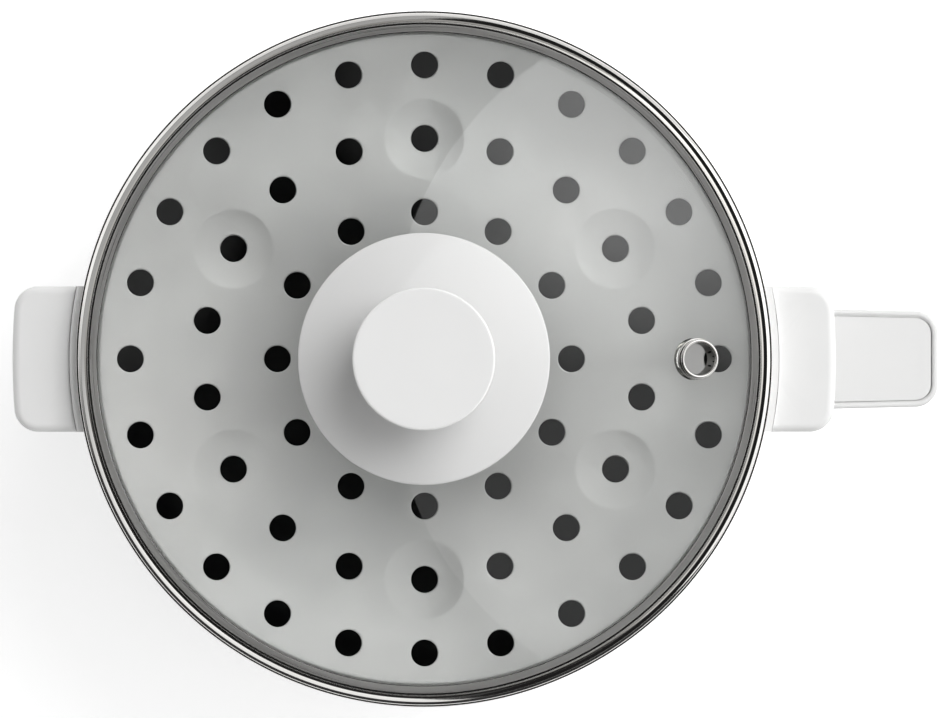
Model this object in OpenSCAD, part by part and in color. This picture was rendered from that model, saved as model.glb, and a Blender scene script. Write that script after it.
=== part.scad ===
// Electric food steamer: a heated water pot, a steaming tier with two side lugs, a perforated
// egg tray and a lift-off glass lid with a skirted knob. Sizes are in millimetres.
// The vessel's axis is Z, the table is Z = 0 and the control handle points along X.

/* [Vessel] */
// Diameter over the lid's steel rim
lid_d = 230; // [210:1:260]
// How far the lid's rim stands out past the walls below it
lid_overhang = 1.6; // [1.3:0.1:2.2]
// Depth of the water pot
pot_depth = 60; // [50:1:90]
// Height of the steaming tier above the pot's rim
tier_h = 66; // [50:1:110]
// Thickness of the tier's wall
tier_wall = 2.8; // [2.4:0.1:3.6]
// Thickness of the base shell's wall
shell_wall = 2.6; // [2.2:0.1:3.4]
// Radius of the base shell's lower edge
shell_corner = 16; // [12:1:20]
// Thickness of the pot's steel sheet
pot_t = 1; // [0.6:0.1:1.4]
// Outer radius of the pot's lower edge
pot_corner = 15; // [10:1:20]
// Air gap between the pot and the base shell
air_gap = 4.8; // [4.4:0.1:6]
// Height of the space for the heater under the pot
heater_bay = 30; // [30:1:44]

/* [Foot and cover] */
// How far the foot ring stands out below the cover
foot_proud = 2; // [1.4:0.1:4]
// Width of the foot ring
foot_w = 8; // [5:0.5:12]
// Depth of the foot ring's groove
foot_set = 1.2; // [0.8:0.1:1.6]
// Thickness of the bottom cover
cover_t = 3.4; // [3.2:0.1:5]
// Distance of the cover screws from the cover's edge
cover_screw_in = 9; // [8:0.5:12]
// Shank diameter of the cover screws
cover_screw_d = 3.5; // [3:0.1:4]

/* [Tray] */
// Thickness of the tray's sheet
tray_t = 0.8; // [0.6:0.1:1.2]
// Height of the tray over its turned-down edge
tray_h = 5; // [4:0.5:9]
// Bend radius of the turned-down edge
tray_bend = 1.4; // [1.2:0.1:3.2]
// Diameter of the steam holes
hole_d = 8.8; // [6:0.1:10]
// Distance of the outer ring of holes from the tray's edge
hole_margin = 11.2; // [10.6:0.1:16]
// Gap between the tray's edge and the tier's wall
tray_gap = 2; // [0.4:0.1:3]
// Diameter of an egg dimple
dimple_d = 26.4; // [20:0.2:30]
// Depth of an egg dimple
dimple_depth = 2; // [1:0.5:6]

/* [Lid] */
// Width of the steel rim seen from above
rim_band = 6.8; // [6.2:0.1:9]
// Diameter of the rolled bead round the rim
bead_d = 4; // [3.6:0.1:4.6]
// Thickness of the rim's sheet
rim_t = 0.6; // [0.4:0.1:0.8]
// Depth of the lip that centres the lid in the tier
lip_h = 5; // [3:0.5:8]
// Thickness of the glass
glass_t = 4; // [3:0.5:5]
// Rise of the glass dome
dome_rise = 24; // [18:1:34]
// Distance of the steam vent from the edge of the glass
vent_in = 20.6; // [17:0.1:36]
// Bore of the steam vent
vent_bore_d = 10.6; // [6:0.2:11]
// Height of the vent's bead above the glass
vent_h = 2.2; // [2:0.2:5]

/* [Knob] */
// Diameter of the knob's skirt
skirt_d = 83.2; // [70:0.2:92]
// Diameter of the knob's head
head_d = 47; // [38:0.5:56]
// Thickness of the knob's head
head_h = 11; // [8:0.5:14]
// Height of the knob above the top of the glass
knob_h = 34; // [30:1:42]
// Diameter of the neck under the head
neck_d = 25; // [22:0.5:30]
// Radius of the rounding over the skirt's top
skirt_round = 90; // [75:5:140]
// Shank diameter of the knob's screw
knob_screw_d = 4; // [3.5:0.1:5]

/* [Lugs] */
// Width of a lug
lug_w = 48.2; // [40:0.2:56]
// How far a lug's tip stands out from the tier's wall
lug_reach = 22.8; // [20:0.2:28]
// Height of a lug
lug_h = 14; // [12:0.5:18]
// How far a lug's top lies under the tier's top
lug_drop = 5; // [3:0.5:12]
// Radius of a lug's corners seen from above
lug_corner = 8; // [5:0.5:12]
// Rounding of a lug's upper edges
lug_edge = 2.5; // [1.5:0.1:4]
// Thickness of the curved pad between the tier and a lug
pad_t = 3.9; // [3.4:0.1:5]
// Shank diameter of the lug screws
lug_screw_d = 4; // [3.5:0.1:4.5]

/* [Control handle] */
// How far the handle's tip stands out from the base shell
grip_reach = 57.6; // [55.6:0.2:72]
// Width of the handle at its root
grip_w = 34.2; // [32:0.2:38]
// Taper of each side of the handle in degrees
grip_taper = 1.3; // [0.6:0.1:1.8]
// Height of the handle
grip_h = 20; // [20:0.5:26]
// How far the handle's top lies under the pot's rim
grip_drop = 10; // [6:0.5:16]
// Corner radius of the handle's tip
grip_corner = 7.5; // [6:0.5:9]
// Wall of the handle
grip_wall = 2.4; // [2.2:0.1:3]
// Rim of the handle round its key
grip_lip = 1.5; // [1.2:0.1:1.8]
// Open gap round the key
key_gap = 0.8; // [0.6:0.1:1]
// Thickness of the key
key_t = 2.4; // [2:0.1:3]
// Stroke of the key in degrees
key_stroke = 2.2; // [1.5:0.1:2.4]
// Diameter of the key's hinge pin
pin_d = 2; // [1.6:0.1:2.4]

/* [Heater and wiring] */
// Distance of the heater plate's edge from the pot's wall
plate_in = 36; // [32:1:42]
// Thickness of the heater plate
plate_t = 5; // [4.2:0.1:6]
// Distance of the heater tube's ring from the plate's edge
heater_in = 18; // [15:1:22]
// Diameter of the heater tube
heater_tube_d = 7; // [6:0.2:7.6]
// Distance of the pot's studs from the pot's wall
stud_in = 23; // [22:0.5:25]
// Diameter of the pot's studs
stud_d = 5; // [4:0.5:6]
// Diameter of the inner leads
lead_d = 2.2; // [1.6:0.1:2.4]
// Diameter of the inlet pins
inlet_pin_d = 2.4; // [2:0.1:2.6]
// Distance between the inlet pins
inlet_pin_gap = 8.6; // [8:0.1:9]

/* [Hidden] */
$fn = 96;

// Clearances: a sliding fit, a running fit, a loose screw hole and a bedded face
fit = 0.2;
run = 0.05;
loose = 0.3;
bed = 0.1;

// Main radii and levels
lid_r = lid_d / 2;
tier_r = lid_r - lid_overhang;
tier_in_r = tier_r - tier_wall;
shell_r = tier_r;
shell_in_r = shell_r - shell_wall;
cover_top = foot_proud + cover_t;
pot_under = cover_top + heater_bay;
pot_rim = pot_under + pot_t + pot_depth;
tier_top = pot_rim + tier_h;
pot_r = shell_in_r - air_gap;
pot_in_r = pot_r - pot_t;

// Shell rim that carries the pot's flange
rebate_r = shell_r - 1;
flange_r = rebate_r - fit;

// Cover, its screws and the foot ring
mouth_r = shell_r - shell_corner;
cover_r = mouth_r - loose;
boss_pitch = cover_r - cover_screw_in;
boss_r = cover_screw_d / 2 + 2.8;
boss_h = 17;
cover_angles = [45, 135, 225, 315];
cover_head_r = cover_screw_d + 0.2;
cover_head_h = 2;
cover_screw_len = 12;
rib_t = 3;
slot_in = 24;
slot_size = [24, 3];
foot_out_r = boss_pitch - cover_head_r - 1;

// Studs, clamp brackets and the heat shield
stud_pitch = pot_r - stud_in;
stud_angles = [90, 210, 330];
shield_t = 0.6;
shield_rise = 11;
shield_z = cover_top + shield_rise;
bracket_h = 8;
bracket_w = 13;
shield_r = boss_pitch - boss_r - 2;
shield_ear_r = 9;
shield_hole_pitch = 44;
shield_hole_r = 5;
nut_h = 4;

// Heater
plate_z = pot_under - plate_t;
plate_r = pot_r - plate_in;
heater_r = plate_r - heater_in;
tube_r = heater_tube_d / 2;
heater_open = 20;
seal_len = 4;
heater_pin_len = 6;
heater_pin_r = 1.2;
stat_r = 8;
stat_flange_r = 9.6;
stat_flange_t = 1;
stat_h = 6;
stat_screw_x = 15;
stat_screw_r = 1.5;
stat_screw_len = 4.8;
stat_head_r = 2.8;
stat_head_h = 1.8;
stat_blade = [0.8, 4.8, 4];
strap_t = 0.8;
strap_size = [40, 22];
strap_foot_r = 3.6;
fuse_r = 2;
fuse_len = 14;
fuse_tail = 4;
fuse_tail_r = 0.6;
clip_size = [8, 8.4];
fuse_y = 28;

// Mains inlet, on the side away from the handle
inlet_rise = 19;
inlet_z = cover_top + inlet_rise;
inlet_proud = 0.8;
inlet_face = shell_r + inlet_proud;
inlet_cut = 12;
inlet_flange_t = 1.4;
inlet_body = [17, 21.6, 14];
inlet_flange = [26, 19];
inlet_pad = [31, 23];
inlet_recess_d = 13;
inlet_recess_r = 4.5;
inlet_tab = 3;
inlet_sunk = 0.5;
inlet_back = inlet_body[0] - inlet_face - inlet_sunk;
inlet_pin_tip = 4;

// Lid
bead_r = bead_d / 2;
rim_in_r = lid_r - rim_band;
web_r = lid_r - bead_d;
glass_r = web_r - fit;
lip_r = tier_in_r - 0.8;
dome_r = (glass_r * glass_r + dome_rise * dome_rise) / (2 * dome_rise);
dome_in_r = dome_r - glass_t;
dome_z = tier_top + rim_t + bed - sqrt(pow(dome_in_r, 2) - pow(glass_r, 2));
apex = dome_z + dome_r;
vent_pitch = glass_r - vent_in;
vent_tilt = asin(vent_pitch / dome_r);
vent_r = vent_bore_d / 2;
vent_wall = 0.6;
vent_bead_r = 0.65;
vent_collar = 1.8;
vent_flange = 2.2;
vent_hole_r = vent_r + vent_wall + fit;

// Knob
skirt_r = skirt_d / 2;
neck_r = neck_d / 2;
head_r = head_d / 2;
head_top = apex + knob_h;
head_z = head_top - head_h;
skirt_gap = 0.3;
skirt_edge = 1.4;
skirt_flat_r = neck_r + 2;
skirt_z = dome_z + sqrt(pow(dome_r + skirt_gap, 2) - pow(skirt_r, 2)) + skirt_edge;
skirt_low = skirt_z - skirt_edge - 2;
skirt_round_z = skirt_z - sqrt(pow(skirt_round, 2) - pow(skirt_r - skirt_flat_r, 2));
neck_root_r = neck_r + 5;
neck_root_z = apex + 7.5;
screw_r = knob_screw_d / 2;
spigot_r = neck_r - 4.5;
spigot_len = 11;
insert_r = screw_r + 1.5;
insert_len = 9;
boss_in_r = screw_r + 6.5;
gasket_t = 1.2;
glass_bore_r = screw_r + 3;
under_gasket_z = dome_z + sqrt(pow(dome_in_r, 2) - pow(boss_in_r, 2));
washer_t = 0.8;
screw_head_h = 2.4;

// Tier and tray
ledge_t = 2.8;
ledge_z = pot_rim + ledge_t;
spigot_out_r = pot_in_r - 0.4;
spigot_in_r = spigot_out_r - 2.2;
spigot_drop = 8;
tray_r = tier_in_r - tray_gap;
tray_top = ledge_z + tray_h;
ring_count = 4;
ring_pitch = (tray_r - hole_margin) / ring_count;
dimple_ring = 3;
dimple_r = dimple_d / 2;
dimple_ball = (dimple_r * dimple_r + dimple_depth * dimple_depth) / (2 * dimple_depth);
dimple_z = tray_top - dimple_depth + dimple_ball;

// Lugs
pad_r = tier_r + pad_t;
pad_rise = 2.8;
lug_top = tier_top - lug_drop;
lug_z = lug_top - lug_h;
lug_bow = 224;
lug_tip = tier_r + lug_reach;
lug_bow_x = lug_tip - lug_bow;
lug_y = lug_w / 2 - lug_corner;
lug_x = lug_bow_x + sqrt(pow(lug_bow - lug_corner, 2) - pow(lug_y, 2));
lug_turn = atan2(lug_y, lug_x - lug_bow_x);
lug_root_t = 6;
lug_skin = 3.4;
lug_screw_y = 13;
lug_screw_z = lug_z + lug_h / 2;
lug_screw_r = lug_screw_d / 2;
lug_head_r = lug_screw_d - 0.4;
lug_head_h = 2;
lug_screw_seat = tier_in_r + lug_head_h - 0.4;
lug_screw_len = pad_r + lug_root_t - 2.8 - lug_screw_seat;

// Control handle, its key, board and switch
grip_top = pot_rim - grip_drop;
grip_z = grip_top - grip_h;
grip_tip = shell_r + grip_reach;
grip_bury = 6;
grip_root = shell_r - grip_bury;
grip_round = 5;
grip_nose = 8;
root_wall = 5;
key_root_in = 3;
key_root = shell_r + key_root_in;
key_room = 2.2;
rebate_h = key_t + key_room;
hinge_in = 14;
hinge_drop = 7;
hinge_x = shell_r + hinge_in;
hinge_z = grip_top - hinge_drop;
pin_r = pin_d / 2;
ear_wall = 1.8;
ear_r = pin_r + ear_wall;
ear_t = 3;
ear_y = 10;
pin_seat = 1.2;
pin_half = grip_half(hinge_x, grip_wall) + pin_seat;
floor_z = grip_z + grip_wall;
board_post_h = 4;
board_post_r = 2.6;
board_z = floor_z + board_post_h;
board_t = 1.6;
board_top = board_z + board_t;
hook_in = 6.4;
hook_x = grip_tip - hook_in;
hook_t = 1.5;
hook_w = 7;
spring_r = 2.4;
spring_wire_r = 0.35;
spring_turns = 5;
spring_z = board_z;
spring_x = hook_x - spring_r - spring_wire_r - 0.65;
spring_post_r = spring_r + 1;
board_in = 5;
board_x = hinge_x + board_in;
board_len = spring_x - spring_post_r - 0.4 - board_x;
board_w = 21;
board_screw_r = 1.2;
board_screw_len = 4.8;
board_head_r = 2.2;
board_head_h = 1.4;
board_inset = 2.8;
board_screw_at = [
  [board_x + board_inset, board_inset - board_w / 2],
  [board_x + board_len - board_inset, board_w / 2 - board_inset]
];
relay_box = [11, 14, 6.4];
relay_in = [1.5, 1.1];
relay_at = [board_x + relay_in[0], board_w / 2 - relay_box[1] - relay_in[1]];
switch_in = 6;
switch_x = board_x + board_len - switch_in;
switch_box = [8, 8, 4.6];
plunger_r = 2;
plunger_drop = 2;
plunger_top = grip_top - key_t - plunger_drop;
plunger_gap = 0.15;
plunger_stroke = (switch_x - hinge_x) * sin(key_stroke);
catch_drop = 9.5;
catch_z = grip_top - catch_drop;
catch_in = 1.6;
catch_t = 1.5;
bush_rise = 6.6;
bush_z = floor_z + bush_rise;
bush_r = 4.4;
bush_half = 2.1;
bush_lip = 1.4;
bush_end = shell_r + root_wall + bush_lip;
grip_screw_y = 9.8;
grip_screw_rise = 3.4;
grip_screw_z = floor_z + grip_screw_rise;
grip_screw_r = 1.9;
grip_screw_len = 13;
grip_head_r = 3.4;
grip_head_h = 2;
grip_boss_r = 3.4;
grip_screw_x = sqrt(pow(shell_in_r, 2) - pow(grip_screw_y + grip_head_r, 2)) - bed;
lead_r = lead_d / 2;
lead_rise = 20;
lead_step = [14, 9, 10];

// A ring between two radii and two levels
module ring(r_out, r_in, z0, z1) {
  rotate_extrude()
    translate([r_in, z0])
      square([r_out - r_in, z1 - z0]);
}

// A round rod along X from x0 to x1
module rod_x(r, x0, x1) {
  translate([x0, 0, 0])
    rotate([0, 90, 0])
      cylinder(r = r, h = x1 - x0);
}

// Section of a vessel with a rounded lower edge
module cup_2d(r, z0, z1, c) {
  translate([0, z0 + c])
    square([r, z1 - z0 - c]);
  translate([0, z0])
    square([r - c, z1 - z0]);
  translate([r - c, z0 + c])
    circle(r = c);
}

// Section of a block with a rounded upper edge
module cap_2d(r, z0, z1, c) {
  translate([0, z0])
    square([r, z1 - z0 - c]);
  translate([0, z0])
    square([r - c, z1 - z0]);
  translate([r - c, z1 - c])
    circle(r = c);
}

// A pan-head screw along Z with its head below z = 0 and its shank above
module pan_screw(shank_r, shank_len, head_r, head_h) {
  cylinder(r = shank_r, h = shank_len);
  translate([0, 0, -head_h])
    difference() {
      cylinder(r = head_r, h = head_h);
      for (a = [0, 90])
        rotate(a)
          translate([-head_r * 0.6, -0.4, -1])
            cube([head_r * 1.2, 0.8, 1.9]);
    }
}

function unit(v) = v / norm(v);
function tangents(p) = [
  for (i = [0 : len(p) - 1]) unit(p[min(i + 1, len(p) - 1)] - p[max(i - 1, 0)])
];
function across(u, t) = unit(u - (u * t) * t);
function normals(t, u0) = [
  for (i = 0, u = across(u0, t[0]); i < len(t); i = i + 1, u = across(u, t[min(i, len(t) - 1)])) u
];

// Points of a smooth curve through the points p, n to a span, with its end spans straight
function smooth(p, n) = concat(
  [p[0]],
  [for (i = [1 : len(p) - 3], k = [0 : n - 1])
    let (
      a = p[i - 1],
      b = p[i],
      c = p[i + 1],
      d = p[i + 2],
      s = k / n
    )
    b + 0.5 * (s * (c - a) + s * s * (2 * a - 5 * b + 4 * c - d) + s * s * s * (3 * b - a - 3 * c + d))
  ],
  [p[len(p) - 2], p[len(p) - 1]]
);

// A round wire along a path
module wire(path, r, u0, n = 10) {
  t = tangents(path);
  u = normals(t, u0);
  m = len(path);
  points = [
    for (i = [0 : m - 1], k = [0 : n - 1])
      path[i] + r * (cos(360 * k / n) * u[i] + sin(360 * k / n) * cross(t[i], u[i]))
  ];
  faces = concat(
    [[for (k = [0 : n - 1]) k]],
    [[for (k = [n - 1 : -1 : 0]) (m - 1) * n + k]],
    [for (i = [0 : m - 2], k = [0 : n - 1])
      [i * n + k, (i + 1) * n + k, (i + 1) * n + (k + 1) % n, i * n + (k + 1) % n]]
  );
  polyhedron(points, faces, convexity = 10);
}

// Foot and cover

module foot_ring() {
  color("dimgray")
    ring(foot_out_r, foot_out_r - foot_w, 0, foot_proud + foot_set);
}

module bottom_cover() {
  color("whitesmoke")
    difference() {
      translate([0, 0, foot_proud])
        cylinder(r = cover_r, h = cover_t);
      ring(foot_out_r + bed, foot_out_r - foot_w - bed, foot_proud - 1, foot_proud + foot_set);
      for (a = cover_angles)
        rotate(a)
          translate([boss_pitch, 0, 0]) {
            cylinder(r = cover_screw_d / 2 + fit, h = cover_top + 1);
            cylinder(r = cover_head_r + fit, h = foot_proud + cover_head_h + fit);
          }
      for (a = [0 : 30 : 330])
        rotate(a)
          translate([slot_in, -slot_size[1] / 2, 0])
            cube([slot_size[0], slot_size[1], cover_top + 1]);
    }
}

module cover_screws() {
  color("silver")
    for (a = cover_angles)
      rotate(a)
        translate([boss_pitch, 0, foot_proud + cover_head_h + fit])
          pan_screw(cover_screw_d / 2, cover_screw_len, cover_head_r, cover_head_h);
}

// Base shell and pot

module shell_wall_ring() {
  rotate_extrude()
    difference() {
      cup_2d(shell_r, foot_proud, pot_rim, shell_corner);
      cup_2d(shell_in_r, foot_proud + shell_wall, pot_rim + 1, shell_corner - shell_wall);
      square([mouth_r, foot_proud + shell_wall + 1]);
      translate([0, pot_rim - pot_t])
        square([rebate_r, pot_t + 1]);
    }
}

module shell_bosses() {
  for (a = cover_angles)
    rotate(a) {
      translate([boss_pitch, 0, cover_top])
        cylinder(r = boss_r, h = boss_h);
      translate([boss_pitch, -rib_t / 2, cover_top + 1])
        cube([shell_r - boss_pitch, rib_t, boss_h - 3]);
    }
  for (a = stud_angles)
    rotate(a)
      translate([stud_pitch - bracket_w / 2, -bracket_w / 2, shield_z])
        cube([shell_r - stud_pitch + bracket_w / 2, bracket_w, bracket_h]);
  translate([-shell_r, -inlet_pad[0] / 2, inlet_z - inlet_pad[1] / 2])
    cube([shell_wall + 3, inlet_pad[0], inlet_pad[1]]);
}

module outer_shell() {
  color("whitesmoke")
    difference() {
      union() {
        shell_wall_ring();
        intersection() {
          shell_bosses();
          rotate_extrude()
            cup_2d(shell_r - 0.5, foot_proud + 0.5, pot_rim, shell_corner - 0.5);
        }
        translate([-inlet_face, -inlet_pad[0] / 2, inlet_z - inlet_pad[1] / 2])
          cube([shell_wall + 2, inlet_pad[0], inlet_pad[1]]);
      }
      for (a = cover_angles)
        rotate(a)
          translate([boss_pitch, 0, cover_top - 1])
            cylinder(r = cover_screw_d / 2 + run, h = cover_screw_len + 1);
      for (a = stud_angles)
        rotate(a)
          translate([stud_pitch, 0, shield_z - 1])
            cylinder(r = stud_d / 2 + loose, h = bracket_h + 2);
      translate([-inlet_face - 1, -inlet_body[1] / 2 - fit, inlet_z - inlet_body[2] / 2 - fit])
        cube([inlet_cut, inlet_body[1] + 2 * fit, inlet_body[2] + 2 * fit]);
      translate([0, 0, bush_z])
        rod_x(bush_r + fit, shell_in_r - 4, shell_r + 4);
      for (y = [-grip_screw_y, grip_screw_y])
        translate([0, y, grip_screw_z])
          rod_x(grip_screw_r + fit, shell_in_r - 4, shell_r + 4);
    }
}

module inner_pot() {
  color("silver")
    rotate_extrude() {
      difference() {
        cup_2d(pot_r, pot_under, pot_rim, pot_corner);
        cup_2d(pot_in_r, pot_under + pot_t, pot_rim + 1, pot_corner - pot_t);
      }
      translate([pot_r - pot_t, pot_rim - pot_t])
        square([flange_r - pot_r + pot_t, pot_t]);
    }
}

module pot_studs() {
  color("silver")
    for (a = stud_angles)
      rotate(a)
        translate([stud_pitch, 0, shield_z - shield_t - nut_h - 1])
          cylinder(r = stud_d / 2, h = pot_under - shield_z + shield_t + nut_h + 1);
}

module stud_nuts() {
  color("silver")
    for (a = stud_angles)
      rotate(a)
        translate([stud_pitch, 0, shield_z - shield_t - nut_h])
          difference() {
            cylinder(r = stud_d * 0.9, h = nut_h, $fn = 6);
            translate([0, 0, -1])
              cylinder(r = stud_d / 2 + run, h = nut_h + 2);
          }
}

module heat_shield() {
  color("gainsboro")
    translate([0, 0, shield_z - shield_t])
      difference() {
        union() {
          cylinder(r = shield_r, h = shield_t);
          for (a = stud_angles)
            rotate(a)
              translate([stud_pitch, 0, 0])
                cylinder(r = shield_ear_r, h = shield_t);
        }
        for (a = stud_angles)
          rotate(a)
            translate([stud_pitch, 0, -1])
              cylinder(r = stud_d / 2 + loose, h = shield_t + 2);
        for (a = [0 : 60 : 300])
          rotate(a)
            translate([shield_hole_pitch, 0, -1])
              cylinder(r = shield_hole_r, h = shield_t + 2);
      }
}

// Heater

module heater_plate() {
  color("lightgray")
    difference() {
      translate([0, 0, plate_z])
        cylinder(r = plate_r, h = plate_t);
      rotate_extrude()
        translate([heater_r, plate_z])
          circle(r = tube_r + run);
      for (x = [-stat_screw_x, stat_screw_x])
        translate([x, 0, plate_z - 1])
          cylinder(r = stat_screw_r + run, h = stat_screw_len - stat_flange_t - strap_t + 1.2);
    }
}

module heater_tube() {
  color("dimgray")
    rotate(heater_open)
      rotate_extrude(angle = 360 - 2 * heater_open)
        translate([heater_r, plate_z])
          circle(r = tube_r);
}

// Places a piece at each end of the heater tube, pointing out of it along X
module at_heater_ends() {
  for (s = [-1, 1])
    rotate(s * heater_open)
      translate([heater_r, 0, plate_z])
        rotate(-s * 90)
          children();
}

module heater_seals() {
  color("ivory")
    at_heater_ends()
      difference() {
        rod_x(tube_r - 0.5, 0, seal_len);
        rod_x(heater_pin_r + run, -1, seal_len + 1);
      }
}

module heater_pins() {
  color("silver")
    at_heater_ends()
      rod_x(heater_pin_r, 0, seal_len + heater_pin_len);
}

module thermostat() {
  color("black")
    translate([0, 0, plate_z - stat_flange_t]) {
      cylinder(r = stat_flange_r, h = stat_flange_t);
      translate([0, 0, -stat_h])
        cylinder(r = stat_r, h = stat_h);
      for (x = [-4, 4])
        translate([x - stat_blade[0] / 2, -stat_blade[1] / 2, -stat_h - stat_blade[2]])
          cube(stat_blade + [0, 0, 0.5]);
    }
}

module thermostat_strap() {
  color("silver")
    translate([0, 0, plate_z - stat_flange_t])
      difference() {
        union() {
          translate([-strap_size[0] / 2, -strap_size[1] / 2, -strap_t])
            cube([strap_size[0], strap_size[1], strap_t]);
          for (x = [-stat_screw_x, stat_screw_x])
            translate([x, 0, -strap_t])
              cylinder(r = strap_foot_r, h = strap_t + stat_flange_t);
        }
        translate([0, 0, -strap_t - 1])
          cylinder(r = stat_r + fit, h = strap_t + 2);
        for (x = [-stat_screw_x, stat_screw_x])
          translate([x, 0, -strap_t - 1])
            cylinder(r = stat_screw_r + fit, h = strap_t + stat_flange_t + 2);
      }
}

module strap_screws() {
  color("silver")
    for (x = [-stat_screw_x, stat_screw_x])
      translate([x, 0, plate_z - stat_flange_t - strap_t])
        pan_screw(stat_screw_r, stat_screw_len, stat_head_r, stat_head_h);
}

module thermal_fuse() {
  color("tan")
    translate([0, fuse_y, plate_z - fuse_r - bed]) {
      rod_x(fuse_r, -fuse_len / 2, fuse_len / 2);
      rod_x(fuse_tail_r, -fuse_len / 2 - fuse_tail, fuse_len / 2 + fuse_tail);
    }
}

module fuse_clip() {
  color("silver")
    translate([0, fuse_y, plate_z])
      difference() {
        translate([-clip_size[0] / 2, -clip_size[1] / 2, -2 * fuse_r - bed - strap_t])
          cube([clip_size[0], clip_size[1], 2 * fuse_r + bed + strap_t]);
        translate([0, 0, -fuse_r - bed])
          rod_x(fuse_r + run, -clip_size[0], clip_size[0]);
        translate([-clip_size[0], -fuse_r - run, -fuse_r - bed])
          cube([2 * clip_size[0], 2 * (fuse_r + run), fuse_r + 1]);
      }
}

// Mains inlet and leads

module mains_inlet() {
  color("black")
    difference() {
      union() {
        translate([-inlet_face - inlet_flange_t, -inlet_flange[0] / 2, inlet_z - inlet_flange[1] / 2])
          cube([inlet_flange_t, inlet_flange[0], inlet_flange[1]]);
        translate([-inlet_face - inlet_sunk, -inlet_body[1] / 2, inlet_z - inlet_body[2] / 2])
          cube(inlet_body);
      }
      translate([0, 0, inlet_z]) {
        for (s = [-1, 1])
          translate([0, s * (inlet_pin_gap / 2 - 0.4), 0])
            rod_x(inlet_recess_r, -inlet_face - inlet_flange_t - 1, -inlet_face + inlet_recess_d);
        translate([-inlet_face - inlet_flange_t - 1, -inlet_pin_gap / 2 + 0.4, -inlet_recess_r])
          cube([inlet_flange_t + 1 + inlet_recess_d, inlet_pin_gap - 0.8, 2 * inlet_recess_r]);
        for (s = [-1, 1])
          translate([0, s * inlet_pin_gap / 2, 0])
            rod_x(inlet_pin_d / 2 + run, -inlet_face, inlet_back + 1);
      }
    }
}

module inlet_pins() {
  color("gold")
    for (s = [-1, 1])
      translate([0, s * inlet_pin_gap / 2, inlet_z])
        rod_x(inlet_pin_d / 2, inlet_pin_tip - inlet_face, inlet_back + inlet_tab);
}

// A point at radius r, angle a and level z
function polar(r, a, z) = [r * cos(a), r * sin(a), z];

// The inner end of an inlet pin, of a heater pin and of a board lead
function inlet_end(s, d) = [inlet_back + inlet_tab + d, s * inlet_pin_gap / 2, inlet_z];
function heater_end(s, d) =
  polar(heater_r, s * heater_open, plate_z) + d * [sin(heater_open), -s * cos(heater_open), 0];
function wall_run(s) = [
  [gap_r, s * bush_half, bush_z - lead_rise],
  [gap_r, s * bush_half, bush_z - 3.4],
  [gap_r + 0.9, s * bush_half, bush_z - 0.6],
  [shell_in_r + 0.4, s * bush_half, bush_z],
  [bush_end, s * bush_half, bush_z],
  [(bush_end + board_x) / 2, s * bush_half, (bush_z + board_z + board_t / 2) / 2],
  [board_x - loose, s * bush_half, board_z + board_t / 2]
];
// The lane of the leads round the heater bay, and up the gap behind the pot
lane_r = boss_pitch + boss_r + lead_r + 1;
lane_z = shield_z + bracket_h + lead_r + 1;
gap_r = shell_in_r - air_gap / 2;

module inner_leads() {
  pin_end = seal_len + heater_pin_len;
  tail = fuse_len / 2 + fuse_tail;
  fuse_z = plate_z - fuse_r - bed;
  low_z = shield_z + 6;
  live = concat(
    [inlet_end(1, loose), inlet_end(1, 4), polar(lane_r - 6, 166, lane_z)],
    [for (a = [150 : -20 : 30]) polar(lane_r, a, lane_z)],
    [polar(lane_r + 1, 12, lane_z), [gap_r - 2.2, bush_half, lane_z + 7]],
    wall_run(1)
  );
  switched = concat(
    [heater_end(-1, pin_end + loose), heater_end(-1, pin_end + 3)],
    [[heater_r + lead_step[0], -bush_half, lane_z - 2], [pot_r - lead_step[1], -bush_half, lane_z]],
    [[gap_r - 2.2, -bush_half, lane_z + 7]],
    wall_run(-1)
  );
  neutral = [
    inlet_end(-1, loose), inlet_end(-1, 4),
    [-heater_r - lead_step[2], -lead_step[2], lane_z - 2], [-heater_r, -4, low_z],
    [-30, 20, low_z], [-tail - 6, fuse_y, fuse_z], [-tail - loose, fuse_y, fuse_z]
  ];
  fused = [
    [tail + loose, fuse_y, fuse_z], [tail + 6, fuse_y, fuse_z], [32, 18, low_z], [heater_r - 6, -2, low_z],
    heater_end(1, pin_end + 3), heater_end(1, pin_end + loose)
  ];
  color("firebrick")
    for (path = [live, switched, neutral, fused])
      wire(smooth(path, 4), lead_r, [0.1, 0.2, 1], 8);
}

module lead_bush() {
  color("dimgray")
    translate([0, 0, bush_z])
      difference() {
        union() {
          rod_x(bush_r, shell_in_r - fit, bush_end);
          rod_x(bush_r + bush_lip, bush_end - bush_lip + fit, bush_end);
        }
        for (s = [-1, 1])
          translate([0, s * bush_half, 0])
            rod_x(lead_r + 0.6, shell_in_r - 3, bush_end + 1);
      }
}

// Control handle

function grip_half(x, inset) = grip_w / 2 - (x - shell_r) * tan(grip_taper) - inset;

// The handle's outline seen from above, drawn in by inset
module grip_plan(inset) {
  c = grip_corner - inset;
  xc = grip_tip - inset - c;
  yc = grip_half(xc, inset) - c;
  polygon(concat(
    [[grip_root, -grip_half(grip_root, inset)]],
    [for (a = [-90 : 9 : 0]) [xc + c * cos(a), -yc + c * sin(a)]],
    [for (a = [0 : 9 : 90]) [xc + c * cos(a), yc + c * sin(a)]],
    [[grip_root, grip_half(grip_root, inset)]]
  ));
}

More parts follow.
